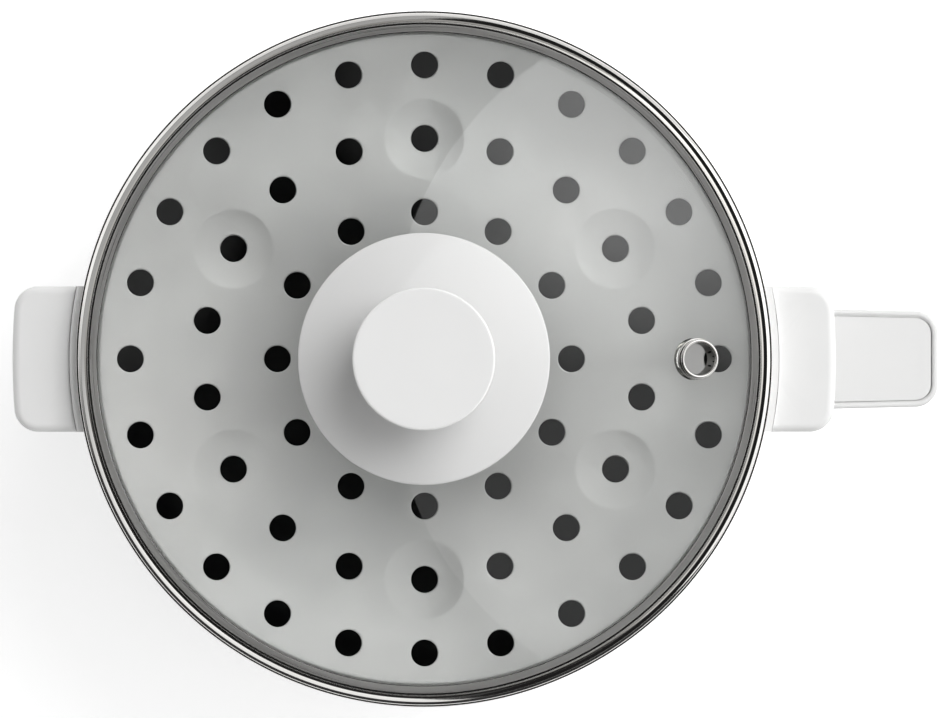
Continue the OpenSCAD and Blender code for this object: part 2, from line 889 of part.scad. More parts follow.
// The handle's block drawn in by inset, rounded below and at its nose
module grip_block(inset, top) {
  z0 = grip_z + inset;
  hw = grip_w / 2 + 1 - inset;
  c = grip_round - inset;
  n = grip_nose - inset;
  xt = grip_tip - inset;
  intersection() {
    translate([0, 0, z0])
      linear_extrude(height = top - z0)
        grip_plan(inset);
    rotate([90, 0, 90])
      linear_extrude(height = grip_tip + 1) {
        translate([-hw, z0 + c])
          square([2 * hw, top - z0 - c]);
        translate([c - hw, z0])
          square([2 * (hw - c), top - z0]);
        for (s = [-1, 1])
          translate([s * (hw - c), z0 + c])
            circle(r = c);
      }
    rotate([90, 0, 0])
      linear_extrude(height = 2 * grip_w, center = true) {
        translate([grip_root, z0 + n])
          square([xt - grip_root, top - z0 - n]);
        translate([grip_root, z0])
          square([xt - n - grip_root, top - z0]);
        translate([xt - n, z0 + n])
          circle(r = n);
      }
  }
}

// Posts, bosses and the catch inside the handle
module grip_inside() {
  for (p = board_screw_at)
    translate([p[0], p[1], grip_z + grip_wall / 2])
      cylinder(r = board_post_r, h = board_z - grip_z - grip_wall / 2);
  translate([spring_x, 0, grip_z + grip_wall / 2]) {
    cylinder(r = spring_post_r, h = spring_z - grip_z - grip_wall / 2);
    cylinder(r = spring_r - spring_wire_r - fit, h = spring_z + 2 - grip_z - grip_wall / 2);
  }
  for (y = [-grip_screw_y, grip_screw_y])
    translate([0, y, grip_screw_z])
      rod_x(grip_boss_r, shell_r + root_wall - 1, hinge_x - ear_r - 0.6);
  translate([grip_tip - grip_wall - catch_in, -hook_w / 2 - 0.5, catch_z])
    cube([catch_in + 1, hook_w + 1, catch_t]);
}

module handle_shell() {
  color("whitesmoke")
    difference() {
      union() {
        difference() {
          grip_block(0, grip_top);
          difference() {
            grip_block(grip_wall, grip_top + 1);
            cylinder(r = shell_r + root_wall, h = grip_top + 2);
          }
          difference() {
            translate([0, 0, grip_top - rebate_h])
              linear_extrude(height = rebate_h + 1)
                grip_plan(grip_lip);
            cylinder(r = key_root - key_gap, h = grip_top + 2);
          }
        }
        intersection() {
          grip_inside();
          grip_block(grip_wall / 2, grip_top);
        }
      }
      cylinder(r = shell_r + bed, h = grip_top + 2);
      translate([0, 0, bush_z])
        rod_x(bush_r + fit, shell_r - 4, shell_r + root_wall + 2);
      for (y = [-grip_screw_y, grip_screw_y])
        translate([0, y, grip_screw_z])
          rod_x(grip_screw_r + run, shell_r - 4, grip_screw_x + grip_screw_len + fit);
      for (p = board_screw_at)
        translate([p[0], p[1], board_top - board_screw_len - fit])
          cylinder(r = board_screw_r + run, h = board_screw_len);
      translate([hinge_x, 0, hinge_z])
        rotate([90, 0, 0])
          cylinder(r = pin_r + 0.02, h = 2 * pin_half + 0.1, center = true);
    }
}

module handle_screws() {
  color("silver")
    for (y = [-grip_screw_y, grip_screw_y])
      translate([grip_screw_x, y, grip_screw_z])
        rotate([0, 90, 0])
          pan_screw(grip_screw_r, grip_screw_len, grip_head_r, grip_head_h);
}

module control_key() {
  plate_under = grip_top - key_t;
  color("whitesmoke")
    difference() {
      union() {
        difference() {
          translate([0, 0, plate_under])
            linear_extrude(height = key_t)
              grip_plan(grip_lip + key_gap);
          cylinder(r = key_root, h = grip_top + 2);
        }
        for (s = [-1, 1])
          translate([hinge_x, s * ear_y, hinge_z]) {
            rotate([90, 0, 0])
              cylinder(r = ear_r, h = ear_t, center = true);
            translate([-ear_r, -ear_t / 2, 0])
              cube([2 * ear_r, ear_t, plate_under - hinge_z + 0.5]);
          }
        translate([switch_x, 0, plunger_top + plunger_gap])
          cylinder(r = plunger_r + 0.5, h = plate_under - plunger_top);
        translate([hook_x, -hook_w / 2, catch_z - hook_t - fit])
          cube([hook_t, hook_w, plate_under - catch_z + hook_t + fit + 0.5]);
        translate([hook_x, -hook_w / 2, catch_z - hook_t - fit])
          cube([grip_tip - grip_wall - 0.6 - hook_x, hook_w, hook_t]);
      }
      translate([hinge_x, 0, hinge_z])
        rotate([90, 0, 0])
          cylinder(r = pin_r + run, h = grip_w, center = true);
    }
}

module key_pin() {
  color("silver")
    translate([hinge_x, 0, hinge_z])
      rotate([90, 0, 0])
        cylinder(r = pin_r, h = 2 * pin_half, center = true);
}

module key_spring() {
  z0 = spring_z + spring_wire_r + bed;
  z1 = grip_top - key_t - spring_wire_r - bed;
  steps = 14 * spring_turns;
  path = [
    for (i = [0 : steps])
      [spring_x, 0, z0 + (z1 - z0) * i / steps]
      + spring_r * [cos(360 * spring_turns * i / steps), sin(360 * spring_turns * i / steps), 0]
  ];
  color("silver")
    wire(path, spring_wire_r, [0, 0, 1], 6);
}

module control_board() {
  color("seagreen")
    difference() {
      translate([board_x, -board_w / 2, board_z])
        cube([board_len, board_w, board_t]);
      for (p = board_screw_at)
        translate([p[0], p[1], board_z - 1])
          cylinder(r = board_screw_r + fit, h = board_t + 2);
    }
}

module board_screws() {
  color("silver")
    for (p = board_screw_at)
      translate([p[0], p[1], board_top])
        rotate([180, 0, 0])
          pan_screw(board_screw_r, board_screw_len, board_head_r, board_head_h);
}

module power_relay() {
  color("black")
    translate([relay_at[0], relay_at[1], board_top])
      difference() {
        cube(relay_box);
        for (y = [3 : 4 : 11])
          translate([2, y, relay_box[2] - 0.4])
            cube([relay_box[0] - 4, 1, 1]);
      }
}

module power_switch() {
  color("black")
    difference() {
      translate([switch_x - switch_box[0] / 2, -switch_box[1] / 2, board_top])
        cube(switch_box);
      translate([switch_x, 0, board_top + 1])
        cylinder(r = plunger_r + 0.1, h = switch_box[2]);
    }
}

module switch_plunger() {
  color("ivory")
    translate([switch_x, 0, board_top + 1 + plunger_stroke + fit])
      cylinder(r = plunger_r, h = plunger_top - board_top - 1 - plunger_stroke - fit);
}

// Steaming tier and tray

module steamer_ring() {
  color("whitesmoke")
    difference() {
      union() {
        rotate_extrude() {
          translate([tier_in_r, pot_rim])
            square([tier_wall, tier_h]);
          translate([spigot_in_r, pot_rim])
            square([tier_r - spigot_in_r, ledge_t]);
          translate([spigot_in_r, pot_rim - spigot_drop])
            square([spigot_out_r - spigot_in_r, spigot_drop + ledge_t]);
        }
        intersection() {
          ring(pad_r, tier_in_r + tier_wall / 2, lug_z, lug_top + pad_rise);
          translate([-lug_tip, -lug_w / 2, 0])
            cube([2 * lug_tip, lug_w, tier_top]);
        }
      }
      for (s = [-1, 1], y = [-lug_screw_y, lug_screw_y])
        rotate(s < 0 ? 180 : 0)
          translate([0, y, lug_screw_z]) {
            rod_x(lug_screw_r + fit, tier_in_r - 4, pad_r + 1);
            rod_x(lug_head_r + fit, tier_in_r - 6, lug_screw_seat);
          }
    }
}

// A lug on the +X side
module lug() {
  difference() {
    intersection() {
      translate([0, 0, lug_z])
        linear_extrude(height = lug_h)
          polygon(concat(
            [[pad_r - 6, -lug_w / 2]],
            [for (a = [-90 : (90 - lug_turn) / 8 : -lug_turn + 0.01])
              [lug_x + lug_corner * cos(a), -lug_y + lug_corner * sin(a)]],
            [for (a = [-lug_turn : lug_turn / 4 : lug_turn + 0.01])
              [lug_bow_x + lug_bow * cos(a), lug_bow * sin(a)]],
            [for (a = [lug_turn : (90 - lug_turn) / 8 : 90.01])
              [lug_x + lug_corner * cos(a), lug_y + lug_corner * sin(a)]],
            [[pad_r - 6, lug_w / 2]]
          ));
      rotate([90, 0, 0])
        linear_extrude(height = 2 * lug_w, center = true)
          cap_2d(lug_tip, lug_z, lug_top, lug_edge);
      rotate([90, 0, 90])
        linear_extrude(height = lug_tip + 1)
          for (s = [0, 1])
            mirror([s, 0, 0])
              cap_2d(lug_w / 2, lug_z, lug_top, lug_edge);
    }
    cylinder(r = pad_r + fit, h = lug_top + 1);
    difference() {
      translate([0, lug_skin - lug_w / 2, lug_z - 1])
        cube([lug_x + lug_corner - lug_skin, lug_w - 2 * lug_skin, lug_h + 1 - lug_skin]);
      cylinder(r = pad_r + lug_root_t, h = lug_top + 1);
    }
    for (y = [-lug_screw_y, lug_screw_y])
      translate([0, y, lug_screw_z])
        rod_x(lug_screw_r + run, pad_r - 4, pad_r + lug_root_t - 1.2);
  }
}

module left_lug() {
  color("whitesmoke")
    rotate(180)
      lug();
}

module right_lug() {
  color("whitesmoke")
    lug();
}

module lug_screws() {
  color("silver")
    for (s = [0, 180], y = [-lug_screw_y, lug_screw_y])
      rotate(s)
        translate([lug_screw_seat, y, lug_screw_z])
          rotate([0, 90, 0])
            pan_screw(lug_screw_r, lug_screw_len, lug_head_r, lug_head_h);
}

module steam_tray() {
  color("silver")
    difference() {
      union() {
        rotate_extrude()
          difference() {
            cap_2d(tray_r, ledge_z, tray_top, tray_bend);
            cap_2d(tray_r - tray_t, ledge_z - 1, tray_top - tray_t, tray_bend - tray_t);
          }
        at_dimples()
          intersection() {
            sphere(r = dimple_ball + tray_t);
            translate([0, 0, -dimple_ball - tray_t - 1])
              cylinder(r = dimple_ball, h = dimple_depth + tray_t + 1);
          }
      }
      at_dimples()
        sphere(r = dimple_ball);
      translate([0, 0, tray_top - dimple_depth - 4])
        cylinder(r = hole_d / 2, h = dimple_depth + 6);
      for (i = [1 : ring_count], k = [0 : 6 * i - 1])
        rotate(90 + 60 * k / i)
          translate([i * ring_pitch, 0, tray_top - dimple_depth - 4])
            cylinder(r = hole_d / 2, h = dimple_depth + 6);
    }
}

// Places a piece at the centre of each egg dimple's ball
module at_dimples() {
  for (a = [30 : 60 : 330])
    rotate(a)
      translate([dimple_ring * ring_pitch, 0, dimple_z])
        children();
}

// Lid

module lid_rim() {
  color("silver")
    rotate_extrude() {
      translate([lid_r - bead_r, tier_top + bead_r])
        circle(r = bead_r);
      translate([lip_r - rim_t, tier_top])
        square([lid_r - bead_r - lip_r + rim_t, rim_t]);
      translate([lip_r - rim_t, tier_top - lip_h])
        square([rim_t, lip_h + rim_t]);
      translate([web_r, tier_top])
        square([rim_t, dome_z + sqrt(pow(dome_r + bed, 2) - pow(web_r + rim_t, 2)) - tier_top + rim_t / 2]);
      intersection() {
        difference() {
          translate([0, dome_z])
            circle(r = dome_r + bed + rim_t);
          translate([0, dome_z])
            circle(r = dome_r + bed);
        }
        translate([rim_in_r, tier_top])
          square([web_r + rim_t - rim_in_r, dome_rise]);
      }
    }
}

module lid_glass() {
  color("lightcyan", 0.4)
    difference() {
      rotate_extrude()
        intersection() {
          difference() {
            translate([0, dome_z])
              circle(r = dome_r);
            translate([0, dome_z])
              circle(r = dome_in_r);
          }
          translate([0, tier_top])
            square([glass_r, apex]);
        }
      translate([0, 0, apex - 2 * glass_t])
        cylinder(r = glass_bore_r, h = 4 * glass_t);
      at_vent()
        translate([0, 0, -2 * glass_t])
          cylinder(r = vent_hole_r, h = 4 * glass_t);
    }
}

// Places a piece on the glass at the steam vent, with Z out of the glass
module at_vent() {
  translate([0, 0, dome_z])
    rotate([0, vent_tilt, 0])
      translate([0, 0, dome_r])
        children();
}

module vent_eyelet() {
  flange = vent_r + vent_flange;
  drop = dome_in_r - sqrt(pow(dome_in_r, 2) - pow(flange, 2));
  under = -glass_t - drop - bed;
  color("silver")
    at_vent()
      rotate_extrude() {
        translate([vent_r, under - vent_wall])
          square([vent_wall, vent_h - under + vent_wall]);
        translate([vent_r, under - vent_wall])
          square([flange - vent_r, vent_wall]);
        translate([vent_r, 0])
          square([vent_collar, vent_wall]);
        translate([vent_r + vent_bead_r, vent_h])
          circle(r = vent_bead_r);
      }
}

module knob_skirt() {
  floor_z = head_z - spigot_len;
  color("whitesmoke")
    rotate_extrude()
      difference() {
        union() {
          intersection() {
            translate([skirt_flat_r, skirt_round_z])
              circle(r = skirt_round, $fn = 360);
            translate([skirt_flat_r, skirt_low])
              square([skirt_r - skirt_flat_r, knob_h]);
          }
          polygon([
            [screw_r + loose, skirt_low], [neck_root_r, skirt_low], [neck_root_r, apex + 1],
            [neck_r, neck_root_z], [neck_r, head_z], [screw_r + loose, head_z]
          ]);
        }
        translate([0, dome_z])
          circle(r = dome_r + skirt_gap, $fn = 360);
        translate([0, apex - 1])
          square([boss_in_r + 1, gasket_t + 1]);
        translate([0, floor_z])
          square([spigot_r + bed, spigot_len + 1]);
      }
}

module knob_head() {
  spigot_end = head_z - spigot_len + fit;
  color("whitesmoke")
    rotate_extrude()
      difference() {
        union() {
          cap_2d(head_r, head_z, head_top, 1.2);
          translate([0, spigot_end])
            square([spigot_r, spigot_len]);
        }
        translate([0, spigot_end - 1])
          square([insert_r + run, insert_len + 1]);
      }
}

module knob_insert() {
  z0 = head_z - spigot_len + fit;
  color("gold")
    ring(insert_r, screw_r + run, z0, z0 + insert_len - fit);
}

module knob_screw() {
  z0 = under_gasket_z - gasket_t - washer_t;
  color("silver")
    translate([0, 0, z0])
      pan_screw(screw_r, head_z - spigot_len + insert_len - 1 - z0, screw_r * 1.9, screw_head_h);
}

module knob_washer() {
  z1 = under_gasket_z - gasket_t;
  color("silver")
    ring(boss_in_r - 0.5, screw_r + fit, z1 - washer_t, z1);
}

module upper_gasket() {
  color("gainsboro")
    rotate_extrude() {
      translate([screw_r + loose, apex])
        square([boss_in_r - screw_r - loose, gasket_t]);
      translate([screw_r + loose, apex - glass_t + fit])
        square([glass_bore_r - fit - screw_r - loose, glass_t]);
    }
}

module lower_gasket() {
  color("gainsboro")
    ring(boss_in_r, screw_r + loose, under_gasket_z - gasket_t, under_gasket_z);
}

foot_ring();
bottom_cover();
cover_screws();
outer_shell();
inner_pot();
pot_studs();
stud_nuts();
heat_shield();
heater_plate();
heater_tube();
heater_seals();
heater_pins();
thermostat();
thermostat_strap();
strap_screws();
thermal_fuse();
fuse_clip();
mains_inlet();
inlet_pins();
inner_leads();
lead_bush();
handle_shell();
handle_screws();
control_key();
key_pin();
key_spring();
control_board();
board_screws();
power_relay();
power_switch();
switch_plunger();
steamer_ring();
left_lug();
right_lug();
lug_screws();
steam_tray();
lid_rim();
lid_glass();
vent_eyelet();
knob_skirt();
knob_head();
knob_insert();
knob_screw();
knob_washer();
upper_gasket();
lower_gasket();
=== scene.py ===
import math

import bmesh
import bpy
from mathutils import Matrix, Vector


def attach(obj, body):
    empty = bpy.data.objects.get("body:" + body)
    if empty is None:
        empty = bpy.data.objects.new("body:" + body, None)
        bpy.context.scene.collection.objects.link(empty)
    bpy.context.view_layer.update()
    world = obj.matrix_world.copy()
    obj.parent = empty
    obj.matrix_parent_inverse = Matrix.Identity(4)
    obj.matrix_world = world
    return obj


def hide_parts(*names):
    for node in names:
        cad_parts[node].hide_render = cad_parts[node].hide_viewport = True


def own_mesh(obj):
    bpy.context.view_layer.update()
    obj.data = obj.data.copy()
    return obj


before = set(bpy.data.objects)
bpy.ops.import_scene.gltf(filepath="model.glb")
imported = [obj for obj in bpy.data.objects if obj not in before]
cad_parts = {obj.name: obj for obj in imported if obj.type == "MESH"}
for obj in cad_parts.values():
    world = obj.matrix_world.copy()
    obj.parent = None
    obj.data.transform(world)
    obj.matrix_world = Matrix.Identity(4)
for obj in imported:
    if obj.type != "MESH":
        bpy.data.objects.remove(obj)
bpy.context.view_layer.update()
scene = bpy.context.scene
mm = 0.001
print("frame loaded:", len(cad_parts), "solids")


# mesh helpers, sizes in millimetres

def addPiece(name, bm):
    mesh = bpy.data.meshes.new(name)
    bm.to_mesh(mesh)
    bm.free()
    piece = bpy.data.objects.new(name, mesh)
    scene.collection.objects.link(piece)
    return piece


def shadeSoft(piece, degrees=32):
    piece.data.shade_smooth()
    piece.data.set_sharp_from_angle(angle=math.radians(degrees))


def dress(piece, body, slot, *nodes):
    piece.data.materials.clear()
    piece.data.materials.append(finishes[slot])
    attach(piece, body)
    if nodes:
        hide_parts(*nodes)
    return piece


def arc(centre, radius, start, end, steps):
    # points on a circle, angles in degrees
    return [(centre[0] + radius * math.cos(math.radians(start + (end - start) * i / steps)),
             centre[1] + radius * math.sin(math.radians(start + (end - start) * i / steps)))
            for i in range(steps + 1)]


def softOutline(corners, steps=5):
    # corners are (x, y) or (x, y, fillet); a fillet becomes a small arc
    points = []
    for i, corner in enumerate(corners):
        here = Vector(corner[:2])
        if len(corner) < 3:
            points.append(tuple(here))
            continue
        toLast = (Vector(corners[i - 1][:2]) - here).normalized()
        toNext = (Vector(corners[(i + 1) % len(corners)][:2]) - here).normalized()
        half = toLast.angle(toNext) / 2
        centre = here + (toLast + toNext).normalized() * corner[2] / math.sin(half)
        start = here + toLast * corner[2] / math.tan(half) - centre
        end = here + toNext * corner[2] / math.tan(half) - centre
        turn = math.atan2(start.x * end.y - start.y * end.x, start.dot(end))
        for k in range(steps + 1):
            a = math.atan2(start.y, start.x) + turn * k / steps
            points.append((centre.x + corner[2] * math.cos(a), centre.y + corner[2] * math.sin(a)))
    return points


def bridge(bm, loopA, loopB, closed=True):
    count = max(len(loopA), len(loopB))
    for k in range(count if closed else count - 1):
        n = (k + 1) % count
        if len(loopA) == 1:
            bm.faces.new((loopA[0], loopB[n], loopB[k]))
        elif len(loopB) == 1:
            bm.faces.new((loopA[k], loopA[n], loopB[0]))
        else:
            bm.faces.new((loopA[k], loopA[n], loopB[n], loopB[k]))


def stackLoops(bm, stack):
    # skins a pile of loops and caps both ends
    last = None
    for points in stack:
        made = [bm.verts.new(p) for p in points]
        if last:
            bridge(bm, last, made)
        else:
            bm.faces.new(made)
        last = made
    bm.faces.new(last)


def spinInto(bm, outline, segments, closed=True):
    # turns an (r, z) outline round the axis
    rings = []
    for r, z in outline:
        if r < 1e-6:
            rings.append([bm.verts.new((0, 0, z * mm))])
        else:
            rings.append([bm.verts.new((r * mm * math.cos(a), r * mm * math.sin(a), z * mm))
                          for a in (2 * math.pi * k / segments for k in range(segments))])
    for i in range(len(rings) if closed else len(rings) - 1):
        ringA, ringB = rings[i], rings[(i + 1) % len(rings)]
        if len(ringA) > 1 or len(ringB) > 1:
            bridge(bm, ringA, ringB)
    return rings


def tidyNormals(bm):
    bmesh.ops.remove_doubles(bm, verts=bm.verts, dist=1e-6)
    bmesh.ops.recalc_face_normals(bm, faces=bm.faces)


def spinPiece(name, outline, segments=192, degrees=32, place=None):
    bm = bmesh.new()
    spinInto(bm, outline, segments)
    tidyNormals(bm)
    if place is not None:
        bm.transform(place)
    piece = addPiece(name, bm)
    shadeSoft(piece, degrees)
    return piece


def holeLoops(border, centre, radii, rows, power):
    # loops of plan points from the border of a cell to the edge of its hole
    loops = []
    for row in range(rows + 1):
        share = (1 - row / rows) ** power
        loop = []
        for x, y in border:
            a = math.atan2((y - centre[1]) / radii[1], (x - centre[0]) / radii[0])
            hx, hy = centre[0] + radii[0] * math.cos(a), centre[1] + radii[1] * math.sin(a)
            loop.append((hx + (x - hx) * share, hy + (y - hy) * share))
        loops.append(loop)
    return loops


# node helpers

def addNode(tree, kind, **settings):
    made = tree.nodes.new(kind)
    for key, value in settings.items():
        setattr(made, key, value)
    return made


def mathNode(tree, operation, a, b=None, c=None):
    made = addNode(tree, "ShaderNodeMath", operation=operation)
    for socket, value in zip(made.inputs, (a, b, c)):
        if value is None:
            continue
        if isinstance(value, (int, float)):
            socket.default_value = value
        else:
            tree.links.new(value, socket)
    return made.outputs[0]


def noiseNode(tree, place, scale, detail=3.0, rough=0.55):
    made = addNode(tree, "ShaderNodeTexNoise")
    made.inputs["Scale"].default_value = scale
    made.inputs["Detail"].default_value = detail
    made.inputs["Roughness"].default_value = rough
    tree.links.new(place, made.inputs["Vector"])
    return made.outputs["Fac"]


def spread(tree, value, low, high, fromLow=0.3, fromHigh=0.7):
    made = addNode(tree, "ShaderNodeMapRange")
    for name, number in (("From Min", fromLow), ("From Max", fromHigh), ("To Min", low), ("To Max", high)):
        made.inputs[name].default_value = number
    tree.links.new(value, made.inputs["Value"])
    return made.outputs["Result"]


# finishes: two tones that drift, a roughness span and a fine grain
finishLooks = {
    # painted shade: below the seam the base and handle are painted a little darker than the tier, for the shade they
    # lie in
    "white_plastic": dict(tones=((0.82, 0.82, 0.815), (0.85, 0.85, 0.845)), drift=18, rough=(0.34, 0.42),
                          grain=(2600, 0.000012, 0.25), fade=(0.0955, 0.0965, 0.91, 1.0)),
    # painted shade: the knob's skirt, below the head, is painted darker than the head for the shade it lies in
    "knob_plastic": dict(tones=((0.84, 0.84, 0.835), (0.86, 0.86, 0.855)), drift=22, rough=(0.012, 0.022),
                         grain=(900, 0.000004, 0.02), fade=(0.2136, 0.2146, 0.86, 1.0)),
    # painted light: the tray's colour is painted up to a sixth lighter towards its outer ring, a painted pool of
    # light by the wall
    "tray_steel": dict(tones=((0.50, 0.497, 0.49), (0.54, 0.537, 0.53)), drift=14, rough=(0.36, 0.42),
                       metal=1, turned=(2400, 0.00001, 0.10), brush=0.85, edge=(0.088, 0.104, 1.0, 1.16)),
    # painted shade: the inner pot is painted near black so the tray's holes read dark
    "pot_coating": dict(tones=((0.006, 0.006, 0.006), (0.010, 0.010, 0.010)), drift=60, rough=(0.5, 0.62),
                        grain=(1800, 0.00002, 0.3)),
    "shield_steel": dict(tones=((0.52, 0.52, 0.515), (0.60, 0.60, 0.59)), drift=30, rough=(0.30, 0.38),
                         metal=1, grain=(1800, 0.00001, 0.12)),
    "rim_steel": dict(tones=((0.70, 0.69, 0.67), (0.76, 0.75, 0.73)), drift=26, rough=(0.05, 0.07),
                      metal=1, turned=(3000, 0.000004, 0.05), satin=(108.25, 110.45, 0.34)),
    "fastener_steel": dict(tones=((0.52, 0.52, 0.515), (0.62, 0.62, 0.61)), drift=160, rough=(0.26, 0.38),
                           metal=1, grain=(2200, 0.00001, 0.2)),
    "lid_glass": dict(tones=((0.97, 0.985, 0.98), (0.985, 0.99, 0.985)), drift=9, rough=(0.0, 0.0),
                      clear=1),
    "foot_rubber": dict(tones=((0.055, 0.055, 0.055), (0.08, 0.08, 0.08)), drift=70, rough=(0.62, 0.78),
                        grain=(1500, 0.00003, 0.4)),
    "gasket_silicone": dict(tones=((0.62, 0.62, 0.60), (0.68, 0.68, 0.66)), drift=60, rough=(0.5, 0.6),
                            grain=(1500, 0.00002, 0.25)),
    "plate_aluminium": dict(tones=((0.60, 0.60, 0.60), (0.70, 0.70, 0.70)), drift=40, rough=(0.38, 0.5),
                            metal=1, grain=(900, 0.00004, 0.4)),
    "heater_steel": dict(tones=((0.10, 0.095, 0.09), (0.20, 0.17, 0.14)), drift=55, rough=(0.5, 0.65),
                         metal=1, grain=(1300, 0.00002, 0.3)),
    "seal_ceramic": dict(tones=((0.74, 0.70, 0.62), (0.82, 0.79, 0.72)), drift=180, rough=(0.4, 0.55),
                         grain=(1800, 0.00002, 0.3)),
    "black_plastic": dict(tones=((0.020, 0.020, 0.021), (0.032, 0.032, 0.033)), drift=70, rough=(0.38, 0.5),
                          grain=(2400, 0.00002, 0.35)),
    "plunger_plastic": dict(tones=((0.62, 0.60, 0.52), (0.68, 0.66, 0.58)), drift=90, rough=(0.35, 0.45),
                            grain=(2000, 0.00001, 0.2)),
    "fuse_body": dict(tones=((0.48, 0.38, 0.25), (0.58, 0.48, 0.33)), drift=200, rough=(0.45, 0.6),
                      grain=(1800, 0.00002, 0.3)),
    "brass": dict(tones=((0.66, 0.47, 0.19), (0.76, 0.57, 0.26)), drift=150, rough=(0.22, 0.34),
                  metal=1, grain=(2000, 0.00001, 0.2)),
    "board_green": dict(tones=((0.012, 0.09, 0.045), (0.02, 0.13, 0.065)), drift=240, rough=(0.3, 0.42),
                        grain=(900, 0.00003, 0.4)),
    "lead_sleeve": dict(tones=((0.36, 0.035, 0.03), (0.45, 0.055, 0.045)), drift=120, rough=(0.42, 0.55),
                        grain=(1600, 0.00002, 0.3)),
}


def makeFinish(name, look):
    finish = bpy.data.materials.new(name)
    finish.use_nodes = True
    tree = finish.node_tree
    shader = tree.nodes["Principled BSDF"]
    shader.inputs["Metallic"].default_value = look.get("metal", 0)
    shader.inputs["IOR"].default_value = 1.5
    place = addNode(tree, "ShaderNodeTexCoord").outputs["Object"]
    ramp = addNode(tree, "ShaderNodeValToRGB")
    ramp.color_ramp.elements[0].position = 0.3
    ramp.color_ramp.elements[1].position = 0.7
    for element, tone in zip(ramp.color_ramp.elements, look["tones"]):
        element.color = (*tone, 1)
    tree.links.new(noiseNode(tree, place, look["drift"]), ramp.inputs["Fac"])
    parts = addNode(tree, "ShaderNodeSeparateXYZ")
    tree.links.new(place, parts.inputs[0])
    x, y, z = parts.outputs
    radius = mathNode(tree, "SQRT", mathNode(tree, "MULTIPLY_ADD", x, x, mathNode(tree, "MULTIPLY", y, y)))
    colour = ramp.outputs["Color"]
    for key, along in (("fade", z), ("edge", radius)):
        # painted light and shade: a tone painted darker below a height (painted shade), or lighter further from the
        # axis (a painted pool of light)
        if key in look:
            start, end, low, high = look[key]
            tone = addNode(tree, "ShaderNodeVectorMath", operation="SCALE")
            tree.links.new(colour, tone.inputs[0])
            tree.links.new(spread(tree, along, low, high, start, end), tone.inputs["Scale"])
            colour = tone.outputs[0]
    tree.links.new(colour, shader.inputs["Base Color"])
    roughness = spread(tree, noiseNode(tree, place, look["drift"] * 2.3, 4), *look["rough"])
    tree.links.new(roughness, shader.inputs["Roughness"])
    relief = None
    if "grain" in look:
        scale, depth, strength = look["grain"]
        relief = noiseNode(tree, place, scale, 2)
    if "turned" in look:
        # lathe marks: noise that runs fast along the radius and slowly round the axis
        scale, depth, strength = look["turned"]
        lathe = addNode(tree, "ShaderNodeCombineXYZ")
        tree.links.new(mathNode(tree, "MULTIPLY", radius, scale), lathe.inputs["X"])
        tree.links.new(mathNode(tree, "MULTIPLY", mathNode(tree, "ARCTAN2", y, x), 2.0), lathe.inputs["Y"])
        tree.links.new(mathNode(tree, "MULTIPLY", z, scale), lathe.inputs["Z"])
        relief = noiseNode(tree, lathe.outputs[0], 1.0, 2)
        if "satin" in look:
            # a satin band between two radii, polished outside it
            start, end, dull = look["satin"]
            band = mathNode(tree, "MULTIPLY", mathNode(tree, "GREATER_THAN", radius, start * mm),
                            mathNode(tree, "LESS_THAN", radius, end * mm))
            streak = spread(tree, relief, dull - 0.08, dull + 0.08)
            mixed = mathNode(tree, "MULTIPLY_ADD", band, mathNode(tree, "SUBTRACT", streak, roughness), roughness)
            tree.links.new(mixed, shader.inputs["Roughness"])
        if look.get("brush"):
            around = addNode(tree, "ShaderNodeCombineXYZ")
            tree.links.new(x, around.inputs["X"])
            tree.links.new(y, around.inputs["Y"])
            shader.inputs["Anisotropic"].default_value = look["brush"]
            tree.links.new(around.outputs[0], shader.inputs["Tangent"])
    if relief is not None:
        bump = addNode(tree, "ShaderNodeBump")
        bump.inputs["Strength"].default_value = strength
        bump.inputs["Distance"].default_value = depth
        tree.links.new(relief, bump.inputs["Height"])
        tree.links.new(bump.outputs["Normal"], shader.inputs["Normal"])
    if look.get("clear"):
        shader.inputs["Transmission Weight"].default_value = look["clear"]
    return finish


finishes = {name: makeFinish(name, look) for name, look in finishLooks.items()}
print("finishes made:", len(finishes))


# camera, straight above the lid with a long lens
cameraLook = dict(x=0.0165, height=10.165, lens=1149.0)


def makeCamera(look):
    lens = bpy.data.cameras.new("camera")
    lens.lens = look["lens"]
    lens.sensor_width = 36
    lens.clip_end = 100
    camera = bpy.data.objects.new("camera", lens)
    camera.location = (look["x"], 0, look["height"])
    scene.collection.objects.link(camera)
    scene.camera = camera


makeCamera(cameraLook)


# lamps: a very large round one at the right, a soft one above and a key for the plastic
lampTarget = Vector((0, 0, 0.165))               # middle of the lid
sideLook = dict(elevation=48, turn=0, angle=47.3, reach=4.0, radiance=1.05,
                dim=0.44, weak=1.0, strong=2.05, across=(0.49, 0.66), up=(0.55, 0.78),
                low=(0.3, 0.48), even=1.2)
topLook = dict(elevation=76, turn=60, angle=30, reach=4.0, radiance=1.48, share=0.25)
keyLook = dict(elevation=59, turn=42, angle=20, reach=4.0, radiance=3.35)
ventPin = dict(x=0.091, z=0.86, angle=1, energy=1.0)


def aim(elevation, turn):
    up, turn = math.radians(elevation), math.radians(turn)
    return Vector((math.cos(up) * math.cos(turn), math.cos(up) * math.sin(turn), math.sin(up)))


def roundLamp(name, look):
    toward = aim(look["elevation"], look["turn"])
    radius = look["reach"] * math.tan(math.radians(look["angle"]))
    lamp = bpy.data.lights.new(name, "AREA")
    lamp.shape = "DISK"
    lamp.size = 2 * radius
    lamp.energy = look["radiance"] * math.pi * math.pi * radius ** 2
    lamp.use_nodes = True
    source = bpy.data.objects.new(name, lamp)
    source.location = lampTarget + toward * look["reach"]
    source.rotation_euler = (-toward).to_track_quat("-Z", "Y").to_euler()
    source.visible_camera = False
    scene.collection.objects.link(source)
    return source


